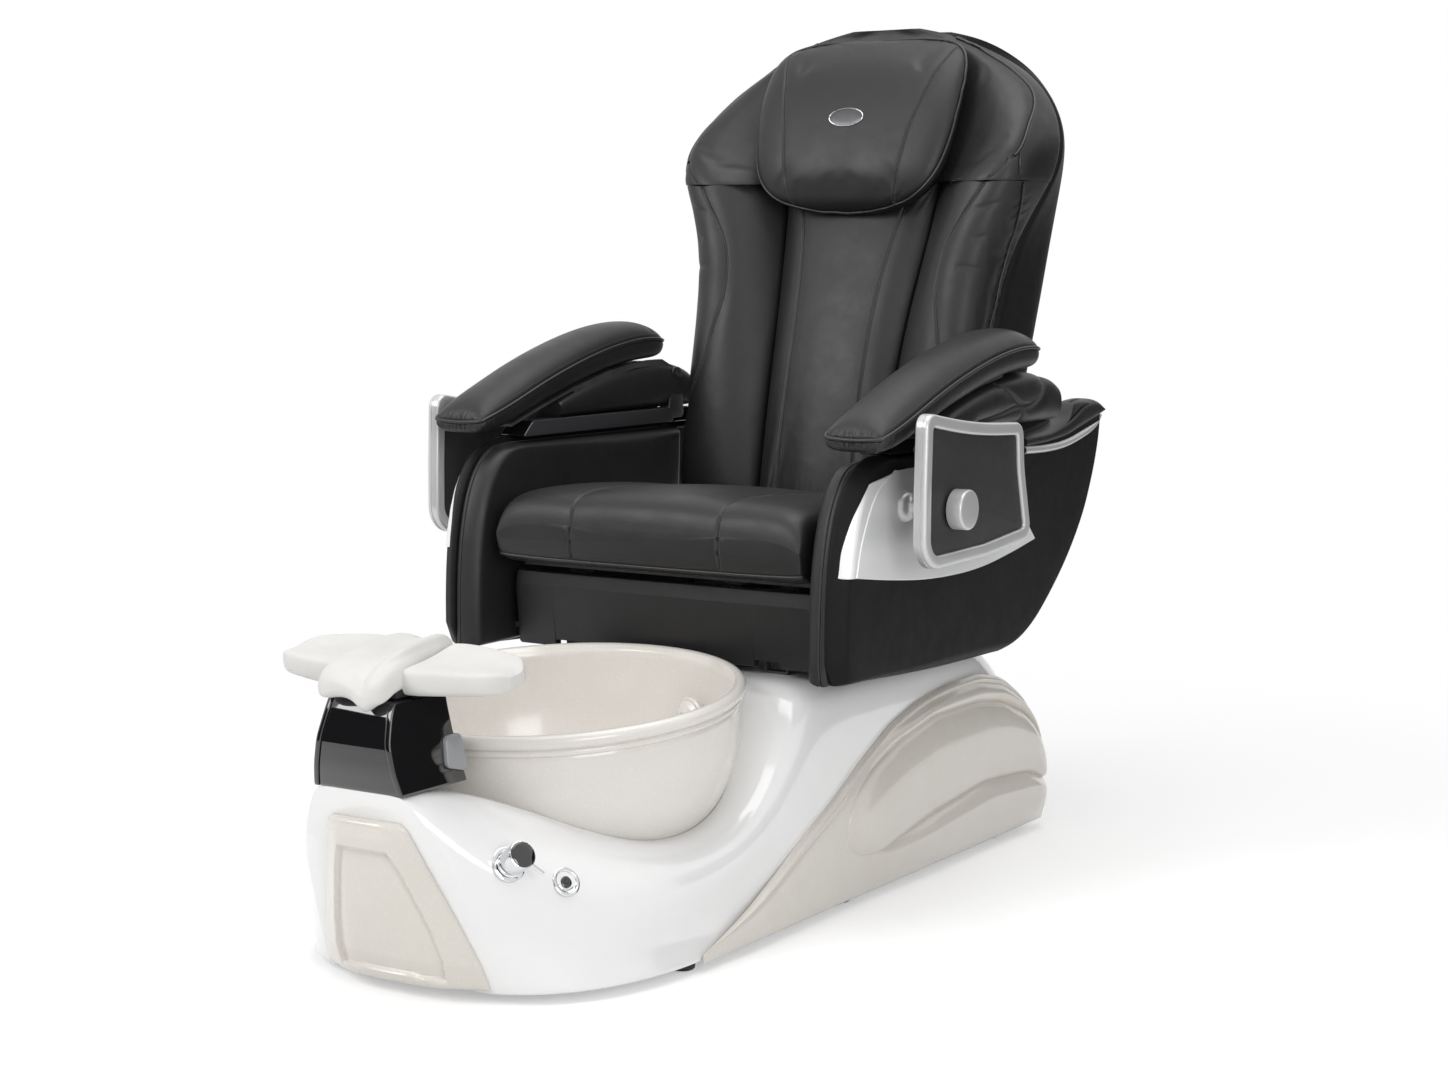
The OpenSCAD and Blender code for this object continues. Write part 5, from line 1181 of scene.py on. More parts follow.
rows_v, cols_s = 60, 90
r_line, h_line, c_line = share_of(ridge, rows_v), share_of(hem, rows_v), share_of(crest, rows_v, 0.8)
floor_line = share_of(hollow, cols_s)
s = np.linspace(0, 1, cols_s)
leaf_rows = []
for i in range(rows_v):
    v = i / (rows_v - 1)
    straight = r_line[i] + (c_line[i] - r_line[i]) * s[:, None]
    sag = floor_line - (r_line[0] + (c_line[0] - r_line[0]) * s[:, None])
    main = straight + sag * (1 - v) ** 2
    main = np.column_stack([402.6 + 1.6 * np.sin(np.pi * np.clip(s * 1.1, 0, 1))
        * math.sin(math.pi * min(1, v * 0.9 + 0.1)), main])
    main[0, 0] = 402.6
    fall = np.linspace(0, 1, 9)[:-1]
    strip = h_line[i] + (r_line[i] - h_line[i]) * fall[:, None]
    strip = np.column_stack([np.minimum(shell_x(strip) + 0.4 + 3.8 * np.sin(fall * np.pi / 2) ** 0.7,
        403.2), strip])
    bead = np.array([[403.6, *(r_line[i] + (-1.4, 0.6))], [403.6, *(r_line[i] + (0.4, 0))],
        [402.4, *(r_line[i] + (2.4, -0.8))]])
    leaf_rows.append(np.concatenate([strip, bead, main[1:]]))
leaf_rows = np.array(leaf_rows)
lip_low = leaf_rows[0] + np.column_stack([np.full(leaf_rows.shape[1], -1.6), np.zeros(leaf_rows.shape[1]),
    np.full(leaf_rows.shape[1], -1.8)])
lip_high = leaf_rows[-1] + np.column_stack([np.full(leaf_rows.shape[1], -1.6), np.zeros(leaf_rows.shape[1]),
    np.full(leaf_rows.shape[1], 1.2)])
leaf_front = np.concatenate([[lip_low], leaf_rows, [lip_high]])
leaf_back = leaf_front - (3.2, 0, 0)
strip_high = share_of(even([(1132, 729.5), (1220, 727.5), (1300, 731.5), (1380, 745.5), (1432, 757),
    (1460, 768)], 5), 70)
strip_low = share_of(even([(1132, 716), (1220, 714), (1300, 718), (1380, 732), (1436, 748), (1461, 765)],
    5), 70)
band_rows = np.array([[(398.4 + 4.4 * (1 - abs(2 * t - 1) ** 3) - 7.5 * max(0, (i - 52) / 17) ** 1.5,
    *(a + (b - a) * t)) for t in np.linspace(0, 1, 9)]
    for i, (a, b) in enumerate(zip(strip_low, strip_high))])
for side, name in ((1, "left"), (-1, "right")):
    flip = (side, 1, 1)
    piece = made("arm_padding_" + name, body_rings * flip, skin_faces(*body_rings.shape[:2]), hide.material,
        "chair", "arm_inner_" + name, 60)
    seam_line = np.column_stack([np.full(len(front_seam), 355.0), front_seam]) * flip
    stitched("arm_stitches_" + name, piece, [seam_line], thread, "chair", (-3.2, 3.2))
    if side < 0:
        made("arm_casing_right", side_rings * flip, skin_faces(*side_rings.shape[:2]), shell_hide.material,
            "chair", "arm_shell_right", 60)
    piece = made("arm_roll_" + name, roll_rings * flip, skin_faces(*roll_rings.shape[:2]), hide.material,
        "chair", (), 60)
    made("arm_leaf_" + name, slab(leaf_front, leaf_back)[0] * flip, slab(leaf_front, leaf_back)[1],
        leaf_satin_painted_light.material, "chair", "arm_trim_" + name, 30)
    made("tail_strip_" + name, slab(band_rows, band_rows - (2.6, 0, 0))[0] * flip,
         slab(band_rows, band_rows - (2.6, 0, 0))[1], satin.material, "chair", (), 40)

# ---- Armrests ------------------------------------------------------------------------------
# A steel bracket hinged on a piano-black rail carries each pad: moulded foam in leather with a
# piped edge, small gathers at its nose and a plain gusset. A soft pouch fills the space behind.


def softened(node_name, new_name, finish, body, width, ears_from=9.0):
    """The solid with its straight edges eased, as a moulded or milled piece has them."""
    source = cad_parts[node_name]
    mesh = source.data.copy()
    mesh.transform(source.matrix_world)
    piece = bpy.data.objects.new(new_name, mesh)
    studio.collection.objects.link(piece)
    mesh.materials.clear()
    mesh.materials.append(finish.material)
    mesh.materials.append(casing.material)
    shape = bmesh.new()
    shape.from_mesh(mesh)
    for face in shape.faces:
        face.material_index = int(all(v.co.z > ears_from for v in face.verts))
    bmesh.ops.remove_doubles(shape, verts=shape.verts, dist=1e-6)
    bmesh.ops.dissolve_limit(shape, angle_limit=math.radians(2), verts=shape.verts, edges=shape.edges)
    shape.to_mesh(mesh)
    shape.free()
    ease_edges = piece.modifiers.new("eased", "BEVEL")
    ease_edges.width, ease_edges.segments, ease_edges.limit_method = width / 1000, 3, "ANGLE"
    ease_edges.angle_limit = math.radians(28)
    ease_edges.use_clamp_overlap = True
    settle(piece)
    piece.data.shade_smooth()
    piece.data.set_sharp_from_angle(angle=math.radians(32))
    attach(piece, body)
    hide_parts(node_name)
    return piece


def gather(piece, line, depth, pitch, reach, seed=0.0):
    """Small pleats that run off a seam and die out over reach."""
    points, normals = read_points(piece)
    far = np.concatenate([[0], np.cumsum(np.linalg.norm(np.diff(line, axis=0), axis=1))])
    near = np.flatnonzero(((points > line.min(0) - 3 * reach) & (points < line.max(0) + 3 * reach)).all(1))
    for part in np.array_split(near, max(1, len(near) // 4000)):
        gap = np.linalg.norm(points[part, None] - line[None], axis=2)
        best = gap.argmin(1)
        run, away = far[best], gap.min(1)
        wave = np.sin(run / pitch * math.tau + 1.7 * np.sin(run / pitch * 1.9 + seed))
        wave += 0.5 * np.sin(run / pitch * 9.1 + seed)
        fade = np.minimum(1, np.minimum(run, far[-1] - run) / (2 * pitch))
        points[part] -= normals[part] * (depth * wave * fade * np.exp(-((away - 3) / reach) ** 2)
            * (away > 1))[:, None]
    write_points(piece, points)


rest_rows = [(548, 778, 4, 14), (552, 782, 14, 24), (572, 788, 26, 32), (630, 805, 32, 38),
    (720, 838, 34, 40), (820, 868, 34, 42), (920, 892, 33, 42), (1010, 905, 30, 42), (1070, 906, 26, 40),
    (1096, 902, 18, 34), (1104, 900, 8, 22)]
rest_ring = [(0.6, -1), (0.96, -0.8), (1.03, -0.2), (0.94, 0.45), (0.5, 1.05), (0, 1.15), (-0.5, 1.05),
    (-0.94, 0.45), (-1.03, -0.2), (-0.96, -0.8), (-0.6, -1), (0, -1)]
rest_net = [[(388 + x * 57 * (0.82 if y < 550 or y > 1100 else 0.93 if y < 560 or y > 1090 else 1), y,
              z + h * (crown if h > 0 else deep)) for x, h in rest_ring] for y, z, crown, deep in rest_rows]
rest = closed_ends(lofted(rest_net, 8, 7), (0.93, 0.8, 0.6, 0.35), 1.5)
outer_column, inner_column = 11, 53
rest_pad = made("armrest_cushion_left", rest, skin_faces(*rest.shape[:2], True), hide.material,
    "armrest_left", "armrest_pad_left", 180)
held = np.zeros(rest.shape[:2], bool)
held[:, [outer_column, inner_column]] = True
underside = np.interp(rest[..., 1], [r[0] for r in rest_rows], [r[1] - r[3] for r in rest_rows]) + 10
held |= rest[..., 2] < underside
puff(rest_pad, held.ravel(), 7)
cover = read_points(rest_pad)[0].reshape(rest.shape)
finer(rest_pad)
piping_loop = np.concatenate([cover[5:-5:2, outer_column],
    [(424, 1105, 898), (404, 1108, 898), (388, 1108.5, 898), (372, 1108, 898), (352, 1105, 898)],
    cover[5:-5:2, inner_column][::-1],
    [(348, 547.5, 779), (366, 546, 777.5), (388, 545.6, 777), (410, 546, 777.5), (428, 547.5, 779)]])
piping_loop = even(piping_loop, 3, True)
on_edge, edge_normals = laid_on(rest_pad, piping_loop)
sew(rest_pad, [np.concatenate([on_edge, on_edge[:1]])], 1.6, 3.4, 0.0, 10)
nose = on_edge[(on_edge[:, 1] < 575)]
nose = nose[np.argsort(nose[:, 0])]
gather(rest_pad, even(nose[::6], 3), 0.9, 11.0, 13.0, 1.0)
gusset_seams = [even([(439, 573, 784), (437, 577, 768), (428, 580, 757)], 2),
    even([(337, 573, 784), (339, 577, 768), (348, 580, 757)], 2)]
gusset_seams = [laid_on(rest_pad, g)[0] for g in gusset_seams]
sew(rest_pad, gusset_seams, 1.4, 2.2, 0.0, 8)
cross_seam = laid_on(rest_pad, even([(x, 1066, 940) for x in np.linspace(338, 438, 9)], 3), (0, 0, -1))[0]
sew(rest_pad, [cross_seam], 1.6, 2.4, 0.5, 12)
inboard = on_edge + (388 - on_edge[:, :1]) * (0.11, 0, 0) + (0, 0, 7)
inboard = np.array([p for p in inboard if 562 < p[1] < 1092])
rows_of_thread = [inboard[inboard[:, 0] > 388], inboard[inboard[:, 0] < 388]]
rows_of_thread = [even(r[np.argsort(r[:, 1])][::4], 3) for r in rows_of_thread]
for side, name in ((1, "left"), (-1, "right")):
    body = "armrest_" + name
    if side < 0:
        twin = rest_pad.data.copy()
        twin.transform(Matrix.Scale(-1, 4, (1, 0, 0)))
        twin.flip_normals()
        pad = bpy.data.objects.new("armrest_cushion_right", twin)
        studio.collection.objects.link(pad)
        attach(pad, body)
        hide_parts("armrest_pad_right")
    else:
        pad = rest_pad
    flip = (side, 1, 1)
    piped("armrest_piping_" + name, (on_edge + edge_normals * 1.2) * flip, 3.1, piping_hide, body,
        closed=True)
    stitched("armrest_stitches_" + name, pad, [r * flip for r in rows_of_thread], thread, body, (0,), 5.0,
        3.2)
    stitched("armrest_cross_stitches_" + name, pad, [cross_seam * flip], thread, body, (-3, 3), 5.0, 3.2)
    softened("arm_rail_" + name, "armrest_rail_" + name, piano, "chair", 2.2, 0.7725)
    tail_rings = np.array([[(x, y, z + 4 * float(ease(y, 1180, 1290)) * (z > 750))
        for x, z in bevelled(np.array([(335 + d, 745.3 + d), (372 - d, 745.3 + d), (372 - d, 772.5 - d),
        (335 + d, 772.5 - d)], float), 3, 3)] for y, d in [(1128.4, 1.2), (1129.2, 0.3), (1130, 0)]
        + [(y, 0) for y in np.linspace(1140, 1280, 16)] + [(1290, 1), (1296, 4), (1299, 9)]])
    made("rail_tail_" + name, tail_rings * flip, skin_faces(*tail_rings.shape[:2]), piano.material, "chair",
         (), 50)

low_line = np.array([((a[0] + 4 * b[0] + c[0]) / 6, (a[1] + 4 * b[1] + c[1] - a[3] - 4 * b[3] - c[3]) / 6)
                     for a, b, c in zip(rest_rows, rest_rows[1:], rest_rows[2:])])
pouch_net = []
for y, drop in ((770, 4), (776, 1), (840, 0), (930, 0), (1020, 0), (1080, 0), (1130, 4), (1176, 14),
        (1196, 26)):
    low = 773.3
    tall = max(8, np.interp(min(y, 1080), *low_line.T) - 5 - drop - low)
    pouch_net.append([(384 + x * 52, y, low + h * tall) for x, h in (
        (0.6, 0), (0.95, 0.1), (1.05, 0.5), (0.95, 0.9), (0.6, 1), (0, 1), (-0.6, 1), (-0.95, 0.9), (-1, 0.5),
        (-0.95, 0.1), (-0.6, 0), (0, 0))])
pouch = closed_ends(lofted(pouch_net, 8, 10), (0.9, 0.7, 0.45, 0.2), 2)
node_spot = (438, 1048, 805)
creases = [even([(438, 975, 852), (438, 1005, 830), (438, 1030, 814), node_spot], 2),
           even([node_spot, (438, 1085, 804), (438, 1120, 822), (436, 1140, 848), (430, 1146, 866)], 2),
           even([node_spot, (438, 1056, 790), (436, 1059, 776)], 2),
           even([node_spot, (438, 1016, 802), (438, 980, 795), (438, 930, 788), (438, 890, 784)], 2)]
for side, name in ((1, "left"), (-1, "right")):
    flip = (side, 1, 1)
    piece = made("soft_pouch_" + name, pouch * flip, skin_faces(*pouch.shape[:2], True), hide.material,
        "chair", "arm_pouch_" + name, 180)
    finer(piece)
    sunk = [laid_on(piece, c * flip, (-side, 0, 0))[0] for c in creases]
    sew(piece, sunk, 5.0, 4.2, 3.5, 17)
    stitched("pouch_stitches_" + name, piece, [sunk[1]], thread, "chair", (4.0,), 5.0, 3.2)

# ---- Side trays ----------------------------------------------------------------------------
# A cast satin frame with a milled line round its edge holds a black textured panel. The frame
# turns on a flared boss, and a turned metal knob on a black washer closes the spindle.
tray_line = np.array([(590, 573), (800, 577), (968, 592), (938, 712), (932, 787), (596, 821), (591, 700)],
    float)
tray_corner = np.array([50, 300, 26, 140, 28, 24, 200], float)


def drawn_in(corners, w):
    """Corner points of a polygon with its sides moved w inwards."""
    out = []
    turn = np.sign(sum(a[0] * b[1] - a[1] * b[0] for a, b in zip(corners, np.roll(corners, -1, 0))))
    for a, p, b in zip(np.roll(corners, 1, 0), corners, np.roll(corners, -1, 0)):
        u, v = (p - a) / np.linalg.norm(p - a), (b - p) / np.linalg.norm(b - p)
        n, m = turn * np.array([-u[1], u[0]]), turn * np.array([-v[1], v[0]])
        out.append(p + (n + m) * w / (1 + n @ m))
    return np.array(out)


def arc_cornered(corners, radii, n=14):
    """Polygon with true arcs of the given radii at its corners, n steps each."""
    out = []
    for a, p, b, r in zip(np.roll(corners, 1, 0), corners, np.roll(corners, -1, 0), radii):
        u, v = (a - p) / np.linalg.norm(a - p), (b - p) / np.linalg.norm(b - p)
        half = math.acos(np.clip(u @ v, -1, 1)) / 2
        r = min(r, 0.48 * min(np.linalg.norm(a - p), np.linalg.norm(b - p)) * math.tan(half))
        middle = (u + v) / np.linalg.norm(u + v)
        centre = p + middle * r / math.sin(half)
        start, end = p + u * r / math.tan(half) - centre, p + v * r / math.tan(half) - centre
        sweep = math.atan2(start[0] * end[1] - start[1] * end[0], start @ end)
        for t in np.linspace(0, 1, n + 1):
            c, s_ = math.cos(sweep * t), math.sin(sweep * t)
            out.append(centre + (start[0] * c - start[1] * s_, start[0] * s_ + start[1] * c))
    return np.array(out)


def tray_ring(inward, x):
    q = arc_cornered(drawn_in(tray_line, inward), np.maximum(8, tray_corner - inward))
    q = np.concatenate([a + (b - a) * np.linspace(0, 1, 12, endpoint=False)[:, None]
        if np.linalg.norm(b - a) > 30 else [a] for a, b in zip(q, np.roll(q, -1, 0))])
    sag = 7 * np.sin(np.pi * np.clip((q[:, 0] - 600) / 330, 0, 1)) * ease(q[:, 1], 700, 790)
    return np.column_stack([np.full(len(q), x), q[:, 0], q[:, 1] - sag])


frame_profile = [(0, 474.6), (0, 482.6), (1.3, 483.4), (1.3, 484.8), (0, 485.6), (0, 488.4), (0.5, 490.4),
    (1.7, 492.1), (3.6, 493), (8, 493.2), (14, 493.2), (18.2, 493), (19.8, 492.2), (20.8, 490.8), (21, 488),
    (21, 475), (20.8, 472.4), (19.8, 470.9), (18.2, 470.1), (4.6, 470), (2.2, 470.7), (0.6, 472.3)]
frame_rings = np.array([tray_ring(w, x) for w, x in frame_profile])
m, n = frame_rings.shape[:2]
frame_faces = [[i * n + j, i * n + (j + 1) % n, ((i + 1) % m) * n + (j + 1) % n, ((i + 1) % m) * n + j]
               for i in range(m) for j in range(n)]
panel_rings = np.array([tray_ring(w, x) for w, x in ((23.4, 474.6), (21.6, 475.2), (21.1, 476.4),
    (21.1, 487.2), (21.6, 488.2), (23, 488.6))])
panel_black = leather("tray_panel_black", (0.020, 0.020, 0.0205), (0.025, 0.025, 0.0255), 0.55, 2200.0,
    0.00015, 0.4)


def about_knob(points):
    return shaped(points, (0, 690, 664), [("X", 90), ("Z", 90)])


hub_profile = [(10.1, 464), (22.4, 464), (23.6, 464.6), (24, 465.8), (24, 472), (10.1, 472), (10.1, 464)]
boss_profile = [(0, 402.3), (26, 402.3), (25.6, 404.6), (24.2, 409.5), (20, 414.2), (16.4, 417),
    (14.6, 421), (13.4, 427), (13, 433), (13, 437), (15.4, 437.8), (16, 439), (16, 441.4), (15.4, 442.4),
    (13.4, 443), (13.4, 446), (16.8, 446.8), (17.6, 448.2), (17.6, 452.4), (16.8, 453.8), (13.4, 454.6),
    (13, 456), (13, 463.7), (10, 463.7), (10, 501), (0, 501)]
knob_profile = [(10.1, 488.5), (26.4, 488.5), (27, 489.4), (27, 491.6), (28, 492.4), (31.2, 492.6),
    (32, 493.4), (32, 515.6), (31.7, 517), (30.9, 518.2), (29.6, 518.9), (28, 519.2), (12, 519.5),
    (0, 519.6)]
washer_profile = [(12, 488.35), (27.6, 488.35), (28.4, 489), (28.4, 491.6), (27.8, 492.2), (12, 492.2),
    (12, 488.35)]
for side, name in ((1, "left"), (-1, "right")):
    flip = (side, 1, 1)

    def at_knob(points):
        return about_knob(points) * flip

    body = "tray_" + name
    made("tray_frame_" + name, frame_rings * flip, frame_faces, satin.material, body,
        "tray_" + name, 40)
    made("tray_inset_" + name, panel_rings * flip, skin_faces(*panel_rings.shape[:2]), panel_black.material,
        body, (), 40)
    turned_piece("tray_hub_" + name, hub_profile, at_knob, satin, body)
    turned_piece("tray_boss_" + name, boss_profile, at_knob, satin, "chair",
                 "tray_mounts" if side > 0 else ())
    turned_piece("knob_" + name, knob_profile, at_knob, satin, "tray_knob_" + name,
        "tray_knob_" + name)
    turned_piece("knob_washer_" + name, washer_profile, at_knob, piano, "tray_knob_" + name)

# ---- Back ----------------------------------------------------------------------------------
# A pressed shell in fine-grained black carries four covers over moulded foam: a centre cushion
# with two seams, a bolster on each side with a curved seam, and a shoulder cushion with wings.
back_line = [(540, 1066), (612, 1072), (700, 1088), (841, 1122), (978, 1166), (1119, 1218), (1260, 1266),
    (1345, 1296), (1460, 1340)]
rear_wide = [(560, 290), (640, 294), (939, 296), (1035, 302), (1120, 312), (1206, 320), (1273, 320),
    (1339, 304), (1400, 268), (1443, 218), (1460, 170), (1470, 110)]
rear_line = [(560, 1270), (612, 1310), (700, 1345), (800, 1392), (904, 1432), (985, 1458), (1077, 1470),
    (1160, 1474), (1225, 1472), (1290, 1463), (1350, 1446), (1400, 1418), (1440, 1384), (1460, 1366)]
back_wide = [(560, 290), (640, 294), (834, 292), (939, 292), (1050, 300), (1094, 312), (1151, 340),
    (1200, 360), (1243, 366), (1300, 356), (1356, 316), (1412, 246), (1445, 180), (1462, 130), (1474, 70)]
groove = [(612, 128), (841, 132), (978, 140), (1119, 156), (1190, 164)]


def at(table, z):
    return float(np.interp(z, *np.array(table, float).T))


def both_sides(half, z):
    return [(x, y, z) for x, y in half] + [(-x, y, z) for x, y in half[::-1]]


def pads_end(z):
    return min(at(back_line, z) + 74, at(rear_line, z) - 18)


shell_net = []
for z in (612, 640, 700, 800, 900, 985, 1077, 1140, 1200, 1243, 1282, 1320, 1360, 1400, 1436, 1456, 1466):
    w, v, r = at(back_wide, z) - 2, at(rear_wide, z), at(rear_line, z)
    f = pads_end(z) + (2.6 if z > 1340 else 0.7)
    c = min(40, v * 0.4)
    shell_net.append(both_sides([(w * 0.5, f), (w, f), (w, f + 0.1 * (r - f)),
        ((w + 2 * v) / 3, f + 0.6 * (r - f)), (v - 4, r - 0.2 * (r - f)), (v - c, r), (v * 0.3, r + 2)], z))
back_panel = closed_ends(lofted(shell_net, 8, 6), (0.95, 0.85, 0.6, 0.3))
back_hull = made("back_hull", back_panel, skin_faces(*back_panel.shape[:2], True), shell_hide.material,
    "back", "back_shell", 60)
rear_panel = even([(-236, 1500, 690), (-240, 1500, 900), (-246, 1500, 1080), (-252, 1500, 1200),
    (-236, 1500, 1300), (-190, 1500, 1362), (-90, 1500, 1392), (0, 1500, 1398), (90, 1500, 1392),
    (190, 1500, 1362), (236, 1500, 1300), (252, 1500, 1200), (246, 1500, 1080), (240, 1500, 900),
    (236, 1500, 690), (150, 1500, 668), (0, 1500, 664), (-150, 1500, 668)], 5, True)
rear_panel = laid_on(back_hull, rear_panel, (0, -1, 0))[0]
finer(back_hull)
sew(back_hull, [rear_panel], 2.2, 2.6, 0.0, 8)

centre_net = []
for z in (612, 620, 660, 760, 860, 960, 1060, 1130, 1170, 1189):
    g, f = at(groove, z), at(back_line, z)
    e = 10 if z < 616 else 0
    centre_net.append(both_sides([(g, f + 74), (g, f + 34), (g - 4, f + 18 + e), (g - 26, f + 2 + e),
        (g - 50, f + e), (g - 80, f - 4 + e), (g * 0.2, f - 9 + e)], z))
centre = closed_ends(lofted(centre_net, 8, 8), (0.9, 0.7, 0.4), 0.0)
centre_pad = made("back_centre_cushion", centre, skin_faces(*centre.shape[:2], True), hide.material, "back",
    "back_cushion", 180)
depth_at = np.interp(centre[..., 2], *np.array(back_line, float).T)
half_at = np.interp(centre[..., 2], *np.array(groove, float).T)
held = (centre[..., 1] > depth_at + 24) | (np.abs(centre[..., 0]) > half_at - 3)
held |= (centre[..., 2] < 622) | (centre[..., 2] > 1186)
puff(centre_pad, held.ravel(), 8)
finer(centre_pad)
centre_seams = []
for side in (1, -1):
    line = even([(side * x, at(back_line, z) - 4, z)
        for x, z in ((78, 632), (78, 720), (78, 840), (79, 928), (82, 980), (85, 1015), (91.5, 1070),
        (100, 1118), (108, 1160), (114, 1186))], 3)
    centre_seams.append(laid_on(centre_pad, line, (0, 1, 0))[0])
sew(centre_pad, centre_seams, 2.0, 2.4, 0.8, 13)
stitched("back_centre_stitches", centre_pad, centre_seams, thread, "back", (-4.0, 4.0))

wing_fwd = [(612, 6), (700, 22), (841, 34), (978, 48), (1119, 70), (1190, 82)]
bolster_net = []
for z in (612, 622, 660, 760, 860, 960, 1060, 1130, 1170, 1189):
    g, w, f = at(groove, z) + 0.3, at(back_wide, z), at(back_line, z)
    b, a, m = f + 74, f - at(wing_fwd, z), (g + w) / 2
    e, k = (10 if z < 616 else 1 if z > 1185 else 0), float(ease(z, 1040, 1189))
    bolster_net.append([(x, y, z) for x, y in ((g, b), (g, f + 32 - 10 * k), (g + 3, f + 14 - 10 * k),
        (g + (m - g) * 0.5, (f + a) / 2 + e), (m, a + e), (w - 22, a + 4 + e), (w - 3, a + 26 + e + 20 * k),
        (w, f + 24 * k), (w, b - 8), (w - 4, b), (m, b))])
bolster = closed_ends(lofted(bolster_net, 9, 8), (0.9, 0.7, 0.4), 0.0)
bolster_pad = made("bolster_cushion_left", bolster, skin_faces(*bolster.shape[:2], True), hide.material,
    "back", "bolster_left", 180)
depth_at = np.interp(bolster[..., 2], *np.array(back_line, float).T)
half_at = np.interp(bolster[..., 2], *np.array(groove, float).T)
held = (bolster[..., 1] > depth_at + 30) | (bolster[..., 0] < half_at + 4)
held |= (bolster[..., 2] < 622) | (bolster[..., 2] > 1184)
puff(bolster_pad, held.ravel(), 8)
finer(bolster_pad)
curved_seam = even([(322, 1176, 1209), (296, 1174, 1187), (281, 1161, 1163), (256, 1152, 1127),
    (238, 1148, 1096), (227, 1143, 1069), (222, 1137, 1043), (220, 1129, 1007), (223, 1120, 972),
    (233, 1112, 934), (248, 1097, 870), (270, 1090, 820), (290, 1100, 772)], 3)
on_bolster = laid_on(bolster_pad, curved_seam[curved_seam[:, 2] < 1187], (0, 1, 0))[0]
side_edge = even([(340, 1213, 1187), (326, 1232, 1141), (312, 1243, 1097), (302, 1238, 1051),
    (297, 1228, 1006), (293, 1218, 966), (292, 1201, 930), (292, 1180, 850), (292, 1160, 760),
    (292, 1146, 690), (292, 1136, 630)], 3)
side_edge = laid_on(bolster_pad, side_edge, (-1, 0, 0))[0]
sew(bolster_pad, [on_bolster], 2.6, 2.6, 2.2, 16)
sew(bolster_pad, [side_edge], 1.6, 3.2, 1.0, 14)
pleats = [[(256, 1137, 1038), (272, 1140, 1040), (288, 1150, 1036), (302, 1176, 1040)],
          [(276, 1150, 1140), (300, 1160, 1144), (326, 1190, 1153)], [(280, 1150, 1086), (304, 1176, 1094)]]
pleats = [laid_on(bolster_pad, even(p, 2), (0, 1, 0))[0] for p in pleats]
sew(bolster_pad, pleats, 1.3, 4.6, 0.9, 12, True)
gather(bolster_pad, side_edge[::2], 0.7, 26.0, 20.0, 2.0)

shoulder_net = []
for z, forward, back_off in ((1189.6, 84, 1), (1200, 86, 0), (1243, 80, 0), (1282, 62, 0), (1320, 40, 0),
        (1360, 22, 0), (1400, 12, 0), (1436, 7, 1), (1458, 5, 2), (1468, 4, 2), (1474, 3, 2)):
    w, f, b = at(back_wide, z) + 1, at(back_line, z), pads_end(z)
    a = f - forward + back_off
    e, k = min(8, 0.3 * (b - a)), float(ease(z, 1190, 1262))
    shoulder_net.append(both_sides([(w * 0.5, b), (w - 4, b), (w, b - e), (w, (a + 3 * b) / 4 - e),
        (w - 3, a + 0.3 * (b - a)), (w - 22, a + e / 2), (w * (0.75 + 0.11 * k), a),
        (w * (0.62 + 0.1 * k), (a + f) / 2), (w * (0.49 + 0.03 * k), f), (w * 0.3, f + 4)], z))
shoulder = closed_ends(lofted(shoulder_net, 7, 8), (0.9, 0.7, 0.4), 0.0)
shoulder_pad = made("shoulder_cover", shoulder, skin_faces(*shoulder.shape[:2], True), hide.material,
    "back", "shoulder_cushion", 180)
depth_at = np.array([pads_end(z) for z in shoulder[..., 2].ravel()]).reshape(shoulder.shape[:2])
held = (shoulder[..., 1] > depth_at - 34) | (shoulder[..., 2] < 1215) | (shoulder[..., 2] > 1395)
held |= (np.abs(shoulder[..., 0]) < 170) & (shoulder[..., 2] < 1420)
puff(shoulder_pad, held.ravel(), 3)
finer(shoulder_pad)
wing_piping = even([(146, 1340, 1462), (188, 1338, 1446), (228, 1336, 1422), (270, 1332, 1388),
    (304, 1322, 1350), (324, 1292, 1318), (335, 1250, 1284), (340, 1222, 1256), (338, 1207, 1238),
    (334, 1196, 1227)], 3)
side_top = even([(339, 1210, 1243), (341, 1204, 1225), (341, 1202, 1205), (340, 1207, 1191)], 3)
wing_seam = even([(335, 1198, 1229), (330, 1186, 1218), (316, 1175, 1203), (305, 1174, 1193)], 3)
level_seam = even([(206, 1204, 1190.5), (240, 1190, 1190.5), (268, 1178, 1190.5), (294, 1172, 1190.5)], 3)
shoulder_seams, wing_edges = [], []
for side in (1, -1):
    flip = (side, 1, 1)
    wing_edges.append(laid_on(shoulder_pad, wing_piping * flip)[0])
    wing_edges.append(laid_on(shoulder_pad, side_top * flip)[0])
    shoulder_seams.append(laid_on(shoulder_pad, wing_seam * flip, (0, 1, 0))[0])
sew(shoulder_pad, wing_edges, 1.8, 3.4, 1.4, 14)
sew(shoulder_pad, shoulder_seams, 2.4, 2.6, 1.2, 14)
